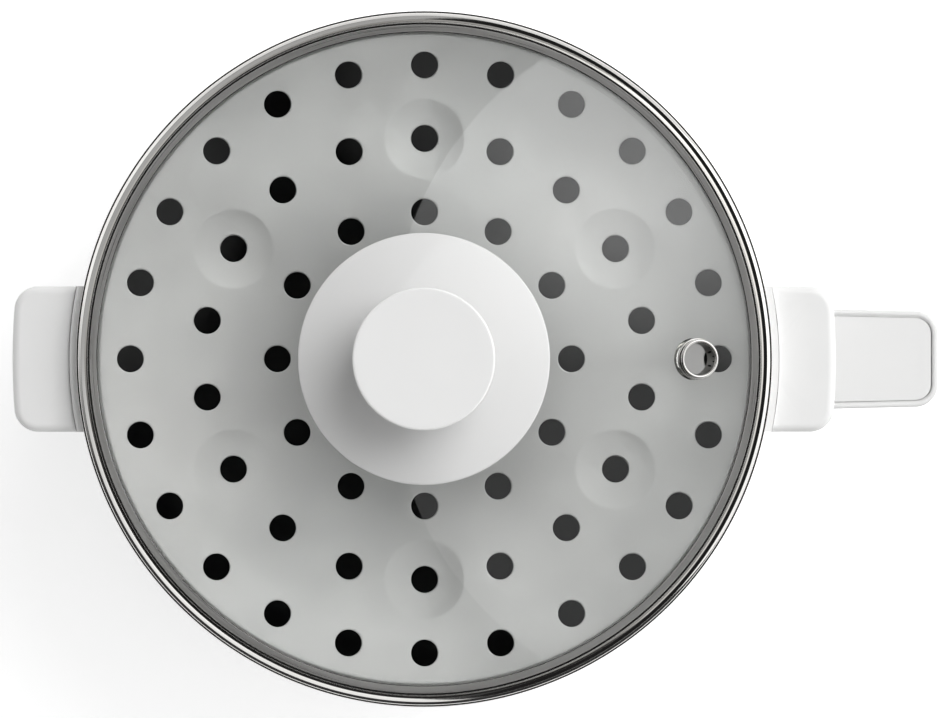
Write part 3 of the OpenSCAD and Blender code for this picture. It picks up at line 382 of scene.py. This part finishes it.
def makeSideLamp(look):
    tree = roundLamp("sideSource", look).data.node_tree
    parts = addNode(tree, "ShaderNodeSeparateXYZ")
    tree.links.new(addNode(tree, "ShaderNodeNewGeometry").outputs["Parametric"], parts.inputs[0])
    x, y = parts.outputs["X"], parts.outputs["Y"]
    bright = mathNode(tree, "SUBTRACT", spread(tree, y, look["strong"], look["weak"], *look["up"]), look["dim"])
    wide = mathNode(tree, "MULTIPLY_ADD", spread(tree, x, 0, 1, *look["across"]), bright, look["dim"])
    flat = mathNode(tree, "SUBTRACT", wide, look["even"])         # one half is brighter, even near the table
    strength = mathNode(tree, "MULTIPLY_ADD", spread(tree, y, 0, 1, *look["low"]), flat, look["even"])
    tree.links.new(strength, tree.nodes["Emission"].inputs["Strength"])


def makeSoftLamp(name, look):
    # never mirrored: outside the lid only, or a share of it there and all of it under the lid
    source = roundLamp(name, look)
    source.visible_glossy = False
    tree = source.data.node_tree
    depth = addNode(tree, "ShaderNodeLightPath").outputs["Transmission Depth"]
    strength = mathNode(tree, "LESS_THAN", depth, 0.5)
    if "share" in look:
        strength = mathNode(tree, "MULTIPLY_ADD", strength, look["share"], mathNode(tree, "GREATER_THAN", depth, 2.5))
    tree.links.new(strength, tree.nodes["Emission"].inputs["Strength"])


def makeVentPin(look):
    # a pin of light down the open vent
    pin = bpy.data.lights.new("ventSource", "SPOT")
    pin.energy = look["energy"]
    pin.spot_size = math.radians(look["angle"])
    pin.spot_blend = 0
    pin.shadow_soft_size = 0
    source = bpy.data.objects.new("ventSource", pin)
    source.location = (look["x"], 0, look["z"])
    scene.collection.objects.link(source)


makeSideLamp(sideLook)
makeSoftLamp("topSource", topLook)
makeSoftLamp("keySource", keyLook)
makeVentPin(ventPin)


# room: steel and glass mirror a pale horizon and two weak cards, and a pale sweep fills from the left
# a card is its turn, height, level, inner and outer angle
roomLook = dict(above=0.015, front=0.03, frontFade=(-0.3, 0.25), fade=(0.2, 0.7), sweep=(0.75, 0.05),
                sweepTop=0.5, left=2.4, cards=((157, 30, 0.27, 20, 29.5), (80, 48, 0.27, 5, 22)))


def makeRoom(look):
    world = bpy.data.worlds.new("room")
    scene.world = world
    world.use_nodes = True
    tree = world.node_tree
    path = addNode(tree, "ShaderNodeLightPath").outputs
    toward = addNode(tree, "ShaderNodeTexCoord").outputs["Generated"]
    parts = addNode(tree, "ShaderNodeSeparateXYZ")
    tree.links.new(toward, parts.inputs[0])
    x, y, z = parts.outputs
    mirrored = mathNode(tree, "MULTIPLY_ADD", spread(tree, z, 1.0, 0.0, *look["fade"]),
                        spread(tree, y, look["front"], 1.0, *look["frontFade"]), look["above"])
    for turn, height, level, inner, outer in look["cards"]:
        near = addNode(tree, "ShaderNodeVectorMath", operation="DOT_PRODUCT")
        tree.links.new(toward, near.inputs[0])
        near.inputs[1].default_value = aim(height, turn)
        span = (math.cos(math.radians(outer)), math.cos(math.radians(inner)))
        mirrored = mathNode(tree, "ADD", mirrored, spread(tree, near.outputs["Value"], 0, level, *span))
    sweep = mathNode(tree, "MULTIPLY", spread(tree, z, *look["sweep"], 0.0, look["sweepTop"]),
                     spread(tree, x, look["left"], 1.0, -1.0, 0.0))
    seen = mathNode(tree, "MAXIMUM", path["Is Glossy Ray"], path["Is Transmission Ray"])
    plain = mathNode(tree, "ADD", mathNode(tree, "MULTIPLY", seen, mirrored),
                     mathNode(tree, "MULTIPLY", mathNode(tree, "SUBTRACT", 1.0, seen), sweep))
    camera = path["Is Camera Ray"]
    unseen = mathNode(tree, "MULTIPLY", mathNode(tree, "SUBTRACT", 1.0, camera), plain)
    back = tree.nodes["Background"]
    back.inputs["Color"].default_value = (1, 1, 1, 1)
    tree.links.new(mathNode(tree, "ADD", camera, unseen), back.inputs["Strength"])


makeRoom(roomLook)


# white floor, just clear of the foot ring
floorLook = dict(tone=0.86, rough=0.9, glow=0.6, half=40, drop=0.0001)


def makeFloor(look):
    bm = bmesh.new()
    bmesh.ops.create_grid(bm, x_segments=1, y_segments=1, size=look["half"])
    bm.transform(Matrix.Translation((0, 0, -look["drop"])))
    floor = addPiece("floor", bm)
    paint = bpy.data.materials.new("floorPaint")
    paint.use_nodes = True
    tree = paint.node_tree
    shader = tree.nodes["Principled BSDF"]
    shader.inputs["Base Color"].default_value = (look["tone"],) * 3 + (1,)
    shader.inputs["Roughness"].default_value = look["rough"]
    shader.inputs["Emission Color"].default_value = (1, 1, 1, 1)
    path = addNode(tree, "ShaderNodeLightPath").outputs
    seen = mathNode(tree, "MAXIMUM", path["Is Glossy Ray"], path["Is Transmission Ray"])
    seen = mathNode(tree, "MAXIMUM", path["Is Camera Ray"], seen)
    tree.links.new(mathNode(tree, "MULTIPLY", seen, look["glow"]), shader.inputs["Emission Strength"])
    floor.data.materials.append(paint)


makeFloor(floorLook)


# a dark flag over the lid, where the camera hangs, for the steel to mirror
flagLook = dict(radius=0.24, z=1.35, tone=0.01)


def makeFlag(look):
    bm = bmesh.new()
    bmesh.ops.create_circle(bm, cap_ends=True, segments=48, radius=look["radius"])
    bm.transform(Matrix.Translation((0, 0, look["z"])))
    flag = addPiece("flag", bm)
    cloth = bpy.data.materials.new("flagCloth")
    cloth.use_nodes = True
    shader = cloth.node_tree.nodes["Principled BSDF"]
    shader.inputs["Base Color"].default_value = (look["tone"],) * 3 + (1,)
    shader.inputs["Roughness"].default_value = 1
    flag.data.materials.append(cloth)
    flag.visible_camera = flag.visible_shadow = flag.visible_diffuse = flag.visible_transmission = False


makeFlag(flagLook)
scene.view_settings.view_transform = "Standard"
print("camera and light set")


# glass dome
glassLook = dict(ball=267.763, centre=-76.2626, thick=4.0, edge=110.8, thinFrom=98.0, bore=5.0, evenTo=74.0,
                 cell=(79.0, 101.4), outerRows=(105.5, 108.5, 110.0), ventAt=90.2, ventHole=6.1)


def makeGlass(look):
    segments, wide = 192, 4                      # the vent's cell is eight segments wide
    bore, (cellIn, cellOut) = look["bore"], look["cell"]
    rows = [bore + (look["evenTo"] - bore) * k / 22 for k in range(23)]
    low, high = len(rows), len(rows) + 4
    rows += [cellIn + (cellOut - cellIn) * k / 4 for k in range(5)] + [*look["outerRows"], look["edge"]]
    inner, thinFrom = look["ball"] - look["thick"], look["thinFrom"]

    def lift(x, y, under):
        r = math.hypot(x, y)
        if not under:
            return (x * mm, y * mm, (look["centre"] + math.sqrt(look["ball"] ** 2 - r * r)) * mm)
        close = inner / look["ball"]
        if r > thinFrom:
            close += (1 - close) * (r - thinFrom) / (look["edge"] - thinFrom)
        return (x * close * mm, y * close * mm, (look["centre"] + math.sqrt(inner ** 2 - (r * close) ** 2)) * mm)

    def plan(row, k):
        a = 2 * math.pi * k / segments
        return (rows[row] * math.cos(a), rows[row] * math.sin(a))

    bm = bmesh.new()
    edges, holes, bores = [], [], []
    for under in (False, True):
        grid = [[bm.verts.new(lift(*plan(row, k), under)) for k in range(segments)] for row in range(len(rows))]
        for row in range(len(rows) - 1):
            for k in range(segments):
                n = (k + 1) % segments
                if low <= row < high and (k < wide or k >= segments - wide):
                    continue
                bm.faces.new((grid[row][k], grid[row + 1][k], grid[row + 1][n], grid[row][n]))
        around = [(low, k % segments) for k in range(-wide, wide)]
        around += [(row, wide) for row in range(low, high)]
        around += [(high, k % segments) for k in range(wide, -wide, -1)]
        around += [(row, segments - wide) for row in range(high, low, -1)]
        border = [plan(*spot) for spot in around]
        tilt = math.cos(math.asin(look["ventAt"] / look["ball"]))
        loops = holeLoops(border, (look["ventAt"], 0), (look["ventHole"] * tilt, look["ventHole"]), 5, 1.3)
        last = [grid[row][k] for row, k in around]
        for loop in loops[1:]:
            made = [bm.verts.new(lift(x, y, under)) for x, y in loop]
            bridge(bm, last, made)
            last = made
        holes.append(last)
        edges.append(grid[-1])
        bores.append(grid[0])
    for pair in (edges, holes, bores):
        bridge(bm, pair[0], pair[1])
    tidyNormals(bm)
    piece = addPiece("lidGlass", bm)
    shadeSoft(piece, 30)
    piece.visible_shadow = False          # lamps shine through the clear glass
    return dress(piece, "lid", "lid_glass", "lid_glass")


makeGlass(glassLook)


# polished rim round the glass
rimLook = dict(flangeIn=108.2, flangeOut=110.45, flangeTop=169.25, flangeFoot=168.99, seam=(108.0, 168.97),
               web=111.25, webFoot=167.4, step=168.6, valley=(111.35, 166.9), slope=(112.2, 167.6),
               ridge=(113.4, 167.85), shoulder=(114.35, 167.1), ledge=(114.45, 165.0), edge=115.0, roll=1.7,
               rollLow=162.4, lipOut=109.8, lipLow=157.4, lipWall=0.6, seat=((109.2, 168.3), (110.85, 167.5)),
               seatLow=163.0)


def makeRim(look):
    edge, ledge, web, step = look["edge"], look["ledge"], look["web"], look["step"]
    inner, outer, top, seam = look["flangeIn"], look["flangeOut"], look["flangeTop"], look["seam"]
    lip, lipIn, low, roll = look["lipOut"], look["lipOut"] - look["lipWall"], look["rollLow"], look["roll"]
    outline = [(lipIn, look["lipLow"]), (lip, look["lipLow"]), (lip, low), (edge - roll - 0.7, low)]
    outline += arc((edge - roll, low + roll), roll, -90, 0, 12)
    outline += [(edge, ledge[1] - 0.1), (edge - 0.1, ledge[1]), ledge]         # thin flat hem
    outline += softOutline([ledge, (*look["shoulder"], 0.5), (*look["ridge"], 0.12), (*look["slope"], 0.3),
                            (*look["valley"], 0.2), (web, look["webFoot"])], 6)[1:]
    outline += [(web, step - 0.05), (web - 0.05, step), (outer, step), (outer, top - 0.05), (outer - 0.05, top)]
    outline += [(inner + 0.05, top - 0.07), (inner, top - 0.12), (inner, look["flangeFoot"])]
    outline += [seam, (seam[0], seam[1] - 0.09), *look["seat"]]                # the glass sits in here
    outline += [(look["seat"][1][0], look["seatLow"]), (lipIn, look["seatLow"])]
    piece = spinPiece("lidRim", outline, 288, 30)
    return dress(piece, "lid", "rim_steel", "lid_rim")


makeRim(rimLook)


# steam vent, a rolled steel tube through the glass
ventLook = dict(bore=5.3, tube=5.9, bead=0.65, height=2.2, flange=6.9, foot=7.0, under=-4.2, sheet=0.6, clear=0.05)


def makeVent(look):
    bore, tube, flange, foot, under = look["bore"], look["tube"], look["flange"], look["foot"], look["under"]
    sheet, clear = look["sheet"], look["clear"]
    outline = softOutline([(bore, under - sheet), (foot, under - sheet, 0.2), (foot, under), (tube, under),
                           (tube, clear), (flange, clear), (flange, sheet, 0.25), (tube + 0.15, sheet)], 4)
    outline += arc((bore + look["bead"], look["height"]), look["bead"], -60, 180, 18)
    tilt = Matrix.Rotation(math.asin(glassLook["ventAt"] / glassLook["ball"]), 4, "Y")
    place = Matrix.Translation((0, 0, glassLook["centre"] * mm)) @ tilt
    place = place @ Matrix.Translation((0, 0, glassLook["ball"] * mm))       # stands square on the dome
    piece = spinPiece("ventEyelet", outline, 72, 40, place)
    return dress(piece, "lid", "rim_steel", "vent_eyelet")


makeVent(ventLook)


# knob: a thin rounded skirt on the glass and a flat head on its neck
knobLook = dict(skirt=41.6, skirtZ=189.953, round=90.0, roundAt=(14.5, 104.13), roundFrom=18.5, brow=1.2,
                underRows=(40.2, 37, 33, 29, 25, 21, 17, 13, 9.5), gap=0.3, neck=12.5, root=(16.26, 194.11),
                rootZ=199.0, boss=192.7, screw=2.3, bore=8.1, boreZ=203.5, head=23.5, headZ=214.5, headTop=225.5,
                headFlat=21.8, headFillet=0.8, stem=8.0, stemZ=203.7, insert=3.55, insertZ=212.7)


def makeKnob(look):
    def dome(r):
        return (r, glassLook["centre"] + math.sqrt((glassLook["ball"] + look["gap"]) ** 2 - r * r))

    def slope(r):
        return math.degrees(math.acos((r - look["roundAt"][0]) / look["round"]))

    skirtR, headR, headZ, headTop = look["skirt"], look["head"], look["headZ"], look["headTop"]
    over = arc(look["roundAt"], look["round"], slope(look["roundFrom"]), slope(skirtR - look["brow"]), 36)
    neck = softOutline([(look["neck"], headZ), (look["neck"], look["rootZ"], 3.0), (*look["root"], 1.5),
                        over[0]], 6)[:-1]
    under = [dome(r) for r in look["underRows"]]
    rim = softOutline([over[-1], (skirtR, look["skirtZ"], 0.8), (*dome(skirtR), 0.3), under[0]], 5)[1:-1]
    socket = [(under[-1][0], look["boss"]), (look["screw"], look["boss"]), (look["screw"], look["boreZ"])]
    socket += [(look["bore"], look["boreZ"]), (look["bore"], headZ)]
    outline = neck + over + rim + under + socket
    skirt = spinPiece("knobSkirt", outline, 224, 30)
    dress(skirt, "lid", "knob_plastic", "knob_skirt")
    stem, insert = look["stem"], look["insert"]
    outline = softOutline([(0, headTop), (headR, headTop, look["headFillet"]), (headR, headZ, 0.8), (stem, headZ),
                           (stem, look["stemZ"]), (insert, look["stemZ"]), (insert, look["insertZ"]),
                           (0, look["insertZ"])], 8)
    outline.insert(1, (look["headFlat"], headTop))       # keeps the flat top flat in shading
    head = spinPiece("knobHead", outline, 192, 40)
    dress(head, "lid", "knob_plastic", "knob_head")


makeKnob(knobLook)
print("lid built")


# perforated tray: rings of cells, one hole each, bent into egg dimples
trayLook = dict(top=104.2, sheet=0.8, edge=108.6, bend=1.4, low=99.2, hem=0.15, pitch=24.35, rings=5, hole=4.4,
                edgeRound=0.16, dimple=13.2, depth=0.7, fine=2.3, snap=0.17, dish=2.8, around=288)


def ringTree():
    # turns one cell of the sheet round the axis
    tree = bpy.data.node_groups.new("trayRing", "GeometryNodeTree")
    face = tree.interface
    face.new_socket("Geometry", in_out="OUTPUT", socket_type="NodeSocketGeometry")
    face.new_socket("Geometry", in_out="INPUT", socket_type="NodeSocketGeometry")
    for name, kind in (("Count", "Int"), ("Start", "Float"), ("Finish", "Material")):
        face.new_socket(name, in_out="INPUT", socket_type="NodeSocket" + kind)
    given = addNode(tree, "NodeGroupInput").outputs
    points = addNode(tree, "GeometryNodePoints")
    tree.links.new(given["Count"], points.inputs["Count"])
    step = mathNode(tree, "DIVIDE", 2 * math.pi, given["Count"])
    turn = mathNode(tree, "MULTIPLY_ADD", addNode(tree, "GeometryNodeInputIndex").outputs[0], step, given["Start"])
    axis = addNode(tree, "ShaderNodeCombineXYZ")
    tree.links.new(turn, axis.inputs["Z"])
    rotation = addNode(tree, "FunctionNodeEulerToRotation")
    tree.links.new(axis.outputs[0], rotation.inputs[0])
    copies = addNode(tree, "GeometryNodeInstanceOnPoints")
    tree.links.new(points.outputs[0], copies.inputs["Points"])
    tree.links.new(given["Geometry"], copies.inputs["Instance"])
    tree.links.new(rotation.outputs[0], copies.inputs["Rotation"])
    real = addNode(tree, "GeometryNodeRealizeInstances")
    tree.links.new(copies.outputs[0], real.inputs[0])
    merge = addNode(tree, "GeometryNodeMergeByDistance")
    merge.inputs["Distance"].default_value = 1e-6
    tree.links.new(real.outputs[0], merge.inputs[0])
    paint = addNode(tree, "GeometryNodeSetMaterial")
    tree.links.new(merge.outputs[0], paint.inputs["Geometry"])
    tree.links.new(given["Finish"], paint.inputs["Material"])
    tree.links.new(paint.outputs[0], addNode(tree, "NodeGroupOutput").inputs[0])
    return tree


def runTree(piece, tree, **values):
    # sets the inputs by identifier, bakes the result and drops the modifier
    modifier = piece.modifiers.new("build", "NODES")
    modifier.node_group = tree
    for item in tree.interface.items_tree:
        if item.in_out == "INPUT" and item.name in values:
            modifier[item.identifier] = values[item.name]
    bpy.context.view_layer.update()
    made = bpy.data.meshes.new_from_object(piece.evaluated_get(bpy.context.evaluated_depsgraph_get()))
    piece.modifiers.clear()
    piece.data = made
    return piece


def trayCell(name, look, border, centre):
    # a thick cell of sheet from its border to its hole and back underneath
    bm = bmesh.new()
    top, low = look["top"], look["top"] - look["sheet"]
    soft = look["edgeRound"]
    hole, wide = (look["hole"],) * 2, (look["hole"] + soft,) * 2
    brow = (look["hole"] + soft * 0.3,) * 2                        # the hole's edge is rounded a little
    stack = [(loop, top) for loop in holeLoops(border, centre, wide, 8, 1.5)]
    stack += [(holeLoops(border, centre, brow, 1, 1)[-1], top - soft * 0.3)]
    stack += [(holeLoops(border, centre, hole, 1, 1)[-1], z) for z in (top - soft, low)]
    stack += [(loop, low) for loop in reversed(holeLoops(border, centre, hole, 5, 1.3)[:-1])]
    last = None
    for loop, z in stack:
        made = [bm.verts.new((x * mm, y * mm, z * mm)) for x, y in loop]
        if last:
            bridge(bm, last, made)
        last = made
    return addPiece(name, bm)


def fromDimple(look, place):
    # offset from the nearest of the six dimples
    turn = math.pi / 6 + math.pi / 3 * round((math.atan2(place.y, place.x) - math.pi / 6) / (math.pi / 3))
    reach = 3 * look["pitch"] * mm
    return Vector((place.x - reach * math.cos(turn), place.y - reach * math.sin(turn), 0))


def sinkTray(bm, look, flat):
    # finer faces along the edge of each dimple, then the dimples and the dish sink
    edge, top = look["dimple"] * mm, look["top"] * mm
    close = {v for v in bm.verts
             if v.co.z > top - 1e-6 and abs(fromDimple(look, v.co).length - edge) < look["fine"] * mm}
    fine = [e for e in bm.edges if all(v in close for v in e.verts)]
    bmesh.ops.subdivide_edges(bm, edges=fine, cuts=2, use_grid_fill=True)
    for vert in bm.verts:
        offset = fromDimple(look, vert.co)
        if vert.co.z > top - 1e-6 and abs(offset.length - edge) < look["snap"] * mm:
            moved = offset * (edge / offset.length - 1)
            vert.co += moved
            offset += moved
        share = min(offset.length / edge, 1)
        out = min(vert.co.xy.length / (flat * mm), 1)
        vert.co.z -= (look["depth"] * (1 - share ** 2) + look["dish"] * (1 - out ** 2)) * mm


def cellBorder(inner, outer, half, steps, sides=12):
    # plan of one cell: inner arc, side, outer arc, side
    def polar(r, a):
        return (r * math.cos(a), r * math.sin(a))

    border = [polar(inner, -half + 2 * half * k / steps) for k in range(steps)]
    border += [polar(inner + (outer - inner) * k / sides, half) for k in range(sides)]
    border += [polar(outer, half - 2 * half * k / steps) for k in range(steps)]
    border += [polar(outer - (outer - inner) * k / sides, -half) for k in range(sides)]
    return border


def makeTray(look):
    pitch, flat, around = look["pitch"], look["edge"] - look["bend"], look["around"]
    tree = ringTree()
    rings = []
    for ring in range(look["rings"]):
        count = max(6 * ring, 1)
        inner, outer = (ring - 0.5) * pitch, min((ring + 0.5) * pitch, flat)
        if ring == 0:
            border = arc((0, 0), outer, 0, 360, around)[:-1]
        else:
            border = cellBorder(inner, outer, math.pi / count, around // count)
        cell = trayCell(f"trayRing{ring}", look, border, (ring * pitch, 0))
        rings.append(runTree(cell, tree, Count=count, Start=math.pi / 2, Finish=finishes["tray_steel"]))
    bm = bmesh.new()
    for ring in rings:
        bm.from_mesh(ring.data)
        bpy.data.objects.remove(ring)
    bend, sheet, edge, low, hem = (look[key] for key in ("bend", "sheet", "edge", "low", "hem"))
    skirt = arc((flat, look["top"] - bend), bend, 90, 0, 10)
    skirt += [(edge, low + hem), (edge - hem, low), (edge - sheet, low)]
    skirt += arc((flat, look["top"] - bend), bend - sheet, 0, 90, 6)
    spinInto(bm, skirt, around, closed=False)
    bmesh.ops.remove_doubles(bm, verts=bm.verts, dist=4e-6)
    sinkTray(bm, look, flat)
    bmesh.ops.recalc_face_normals(bm, faces=bm.faces)
    tray = addPiece("steamTray", bm)
    shadeSoft(tray, 35)
    print("tray triangles:", sum(len(p.vertices) - 2 for p in tray.data.polygons))
    return dress(tray, "tray", "tray_steel", "steam_tray")


makeTray(trayLook)


# lugs on the two sides of the tier
lugLook = dict(width=48.2, tip=136.2, bow=224.0, corner=8.0, cornerAt=(127.599, 16.1), low=143.4, top=157.4,
               edge=2.5, root=117.5, skin=3.4, rootWall=123.3, ceiling=154.0)


def makeLug(name, look, body, turn, node):
    bowX = look["tip"] - look["bow"]

    def loop(inset, rootR, z):
        half = look["width"] / 2 - inset
        cx, cy = look["cornerAt"]
        side = math.degrees(math.atan2(cy, cx - bowX))
        x0 = math.sqrt(rootR ** 2 - half ** 2)
        points = [(x0 + (cx - x0) * k / 6, -half) for k in range(6)]
        points += arc((cx, -cy), look["corner"] - inset, -90, -side, 12)
        points += arc((bowX, 0), look["bow"] - inset, -side, side, 18)[1:-1]
        points += arc((cx, cy), look["corner"] - inset, side, 90, 12)
        points += [(cx + (x0 - cx) * k / 6, half) for k in range(1, 7)]
        swing = math.degrees(math.asin(half / rootR))
        points += arc((0, 0), rootR, swing, -swing, 20)[1:-1]
        return [(x * mm, y * mm, z * mm) for x, y in points]

    bm = bmesh.new()
    e, top, low, root, skin, wall = (look[key] for key in ("edge", "top", "low", "root", "skin", "rootWall"))
    # from the pocket under the lug, round its lower edge and up to the rounded top
    stack = [loop(skin + 0.01, wall, look["ceiling"] - 0.8), loop(skin, wall, low + 0.3)]
    stack += [loop(skin - 0.3, wall - 0.3, low), loop(0.4, root, low), loop(0.1, root, low + 0.15)]
    stack += [loop(0, root, low + 0.5), loop(0, root, top - e)]
    for k in range(1, 10):
        a = math.radians(10 * k)
        stack.append(loop(e * (1 - math.cos(a)), root, top - e + e * math.sin(a)))
    stack.append(loop(e + 0.35, root, top))
    stackLoops(bm, stack)
    tidyNormals(bm)
    bm.transform(Matrix.Rotation(turn, 4, "Z"))
    piece = addPiece(name, bm)
    shadeSoft(piece, 40)
    return dress(piece, body, "white_plastic", node)


makeLug("leftLug", lugLook, "tier", math.pi, "left_lug")
makeLug("rightLug", lugLook, "tier", 0, "right_lug")
print("tray and lugs built")


# handle: a hollow stub with a soft groove round its key
gripLook = dict(half=17.1, taper=1.3, shell=113.4, tip=171.0, corner=7.5, low=66.4, top=86.4, wall=2.4, side=5.0,
                nose=8.0, root=113.5, rootWall=118.4, rebate=115.6, shelf=81.8, seatInset=(2.22, 2.0), seatDrop=0.75,
                groove=((1.62, 0.3), (1.45, 0.1), (1.25, 0.0)), edge=0.8)


def gripLoop(look, inset, tipInset, rootR, z):
    def half(x):
        return look["half"] - (x - look["shell"]) * math.tan(math.radians(look["taper"])) - inset

    corner = look["corner"] - inset
    xc = look["tip"] - tipInset - corner
    yc = half(xc) - corner
    x0 = math.sqrt(rootR ** 2 - half(rootR) ** 2)
    lower = [(x0 + (xc - x0) * k / 8, -half(x0 + (xc - x0) * k / 8)) for k in range(8)]
    lower += arc((xc, -yc), corner, -90, 0, 12)
    lower += [(xc + corner, -yc + yc * k / 4) for k in range(1, 4)]
    points = lower + [(xc + corner, 0)] + [(x, -y) for x, y in reversed(lower)]
    swing = math.degrees(math.atan2(half(x0), x0))
    points += arc((0, 0), rootR, swing, -swing, 20)[1:-1]
    return [(x * mm, y * mm, z * mm) for x, y in points]


def makeHandle(look):
    wall, top, low, edge = look["wall"], look["top"], look["low"], look["edge"]
    stack = [gripLoop(look, wall, wall, look["rootWall"], z) for z in (low + wall, look["shelf"])]
    for z in (look["shelf"], top - look["seatDrop"]):
        stack.append(gripLoop(look, *look["seatInset"], look["rebate"], z))
    for inset, drop in look["groove"]:
        stack.append(gripLoop(look, inset, inset, look["rebate"], top - drop))
    for k in range(7):
        a = math.radians(90 - 15 * k)
        inset = edge * (1 - math.cos(a))
        stack.append(gripLoop(look, inset, inset, look["root"], top - edge + edge * math.sin(a)))
    for k in range(13):
        h = look["nose"] * (1 - math.sin(math.radians(7.5 * k)))
        side = look["side"] - math.sqrt(max(look["side"] ** 2 - max(look["side"] - h, 0) ** 2, 0))
        nose = look["nose"] - math.sqrt(max(look["nose"] ** 2 - (look["nose"] - h) ** 2, 0))
        stack.append(gripLoop(look, side, nose, look["root"], low + h))
    bm = bmesh.new()
    stackLoops(bm, stack)
    tidyNormals(bm)
    piece = addPiece("handleShell", bm)
    shadeSoft(piece, 40)
    return dress(piece, "base", "white_plastic", "handle_shell")


makeHandle(gripLook)


# spring under the key; the real spring shortens as the key goes down
springLook = dict(x=161.2, radius=2.4, wire=0.35, turns=5, perTurn=32, low=73.25, high=83.54, foot=72.8, keep=0.875)


def makeSpring(look):
    steps = look["perTurn"] * look["turns"]
    rise = (look["high"] - look["low"]) / steps
    lean = rise * look["perTurn"] / (2 * math.pi * look["radius"])
    section = arc((0, 0), look["wire"], 0, 360, 10)[:-1]
    loops = []
    for i in range(steps + 1):
        a = 2 * math.pi * look["turns"] * i / steps
        out = Vector((math.cos(a), math.sin(a), 0))
        up = Vector((-math.sin(a), math.cos(a), lean)).normalized().cross(out)
        centre = Vector((look["x"], 0, look["low"] + rise * i)) + out * look["radius"]
        loops.append([(centre + out * u + up * v) * mm for u, v in section])
    bm = bmesh.new()
    stackLoops(bm, loops)
    tidyNormals(bm)
    piece = addPiece("keySpring", bm)
    shadeSoft(piece, 50)
    dress(piece, "base", "fastener_steel", "key_spring")
    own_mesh(piece)


makeSpring(springLook)


# solids that stay as they are: one finish each, and soft normals over their facets
keptSolids = {
    "white_plastic": ["bottom_cover", "outer_shell", "control_key", "steamer_ring"],
    # painted shade: the inner pot is painted near black so the tray's holes read dark
    "pot_coating": ["inner_pot"],
    "shield_steel": ["heat_shield"],
    "fastener_steel": ["cover_screws", "pot_studs", "stud_nuts", "strap_screws", "thermostat_strap", "fuse_clip",
                       "handle_screws", "key_pin", "board_screws", "lug_screws", "knob_screw", "knob_washer",
                       "heater_pins"],
    "foot_rubber": ["foot_ring", "lead_bush"],
    "gasket_silicone": ["upper_gasket", "lower_gasket"],
    "plate_aluminium": ["heater_plate"],
    "heater_steel": ["heater_tube"],
    "seal_ceramic": ["heater_seals"],
    "black_plastic": ["mains_inlet", "thermostat", "power_relay", "power_switch"],
    "plunger_plastic": ["switch_plunger"],
    "fuse_body": ["thermal_fuse"],
    "brass": ["inlet_pins", "knob_insert"],
    "board_green": ["control_board"],
    "lead_sleeve": ["inner_leads"],
}


# the parting line between the base and the tier
seamLook = dict(radius=113.4, z=96.4, size=0.5, nodes=("outer_shell", "steamer_ring"))


def softTree(name, seam=None):
    tree = bpy.data.node_groups.new(name, "GeometryNodeTree")
    tree.interface.new_socket("Geometry", in_out="OUTPUT", socket_type="NodeSocketGeometry")
    tree.interface.new_socket("Geometry", in_out="INPUT", socket_type="NodeSocketGeometry")
    merge = addNode(tree, "GeometryNodeMergeByDistance")
    merge.inputs["Distance"].default_value = 2e-6
    tree.links.new(addNode(tree, "NodeGroupInput").outputs[0], merge.inputs[0])
    body = merge.outputs[0]
    if seam:
        # cuts a fine groove with a ring of square section
        path = addNode(tree, "GeometryNodeCurvePrimitiveCircle")
        path.inputs["Resolution"].default_value = 240
        path.inputs["Radius"].default_value = seam["radius"] * mm
        section = addNode(tree, "GeometryNodeCurvePrimitiveCircle")
        section.inputs["Resolution"].default_value = 4
        section.inputs["Radius"].default_value = seam["size"] * mm
        ring = addNode(tree, "GeometryNodeCurveToMesh")
        tree.links.new(path.outputs[0], ring.inputs["Curve"])
        tree.links.new(section.outputs[0], ring.inputs["Profile Curve"])
        level = addNode(tree, "GeometryNodeTransform")
        level.inputs["Translation"].default_value = (0, 0, seam["z"] * mm)
        tree.links.new(ring.outputs[0], level.inputs[0])
        cut = addNode(tree, "GeometryNodeMeshBoolean", operation="DIFFERENCE", solver="EXACT")
        tree.links.new(body, cut.inputs["Mesh 1"])
        tree.links.new(level.outputs[0], cut.inputs["Mesh 2"])
        body = cut.outputs["Mesh"]
    faces = addNode(tree, "GeometryNodeSetShadeSmooth", domain="FACE")
    tree.links.new(body, faces.inputs["Geometry"])
    edges = addNode(tree, "GeometryNodeSetShadeSmooth", domain="EDGE")
    tree.links.new(faces.outputs[0], edges.inputs["Geometry"])
    bent = addNode(tree, "GeometryNodeInputMeshEdgeAngle").outputs["Unsigned Angle"]
    tree.links.new(mathNode(tree, "LESS_THAN", bent, math.radians(28)), edges.inputs["Shade Smooth"])
    tree.links.new(edges.outputs[0], addNode(tree, "NodeGroupOutput").inputs[0])
    return tree


def finishSolids(kept):
    plain, seamed = softTree("softNormals"), softTree("seamedNormals", seamLook)
    for slot, names in kept.items():
        for name in names:
            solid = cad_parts[name]
            solid.data.materials.clear()
            solid.data.materials.append(finishes[slot])
            soft = solid.modifiers.new("softNormals", "NODES")
            soft.node_group = seamed if name in seamLook["nodes"] else plain


finishSolids(keptSolids)
print("solids finished")
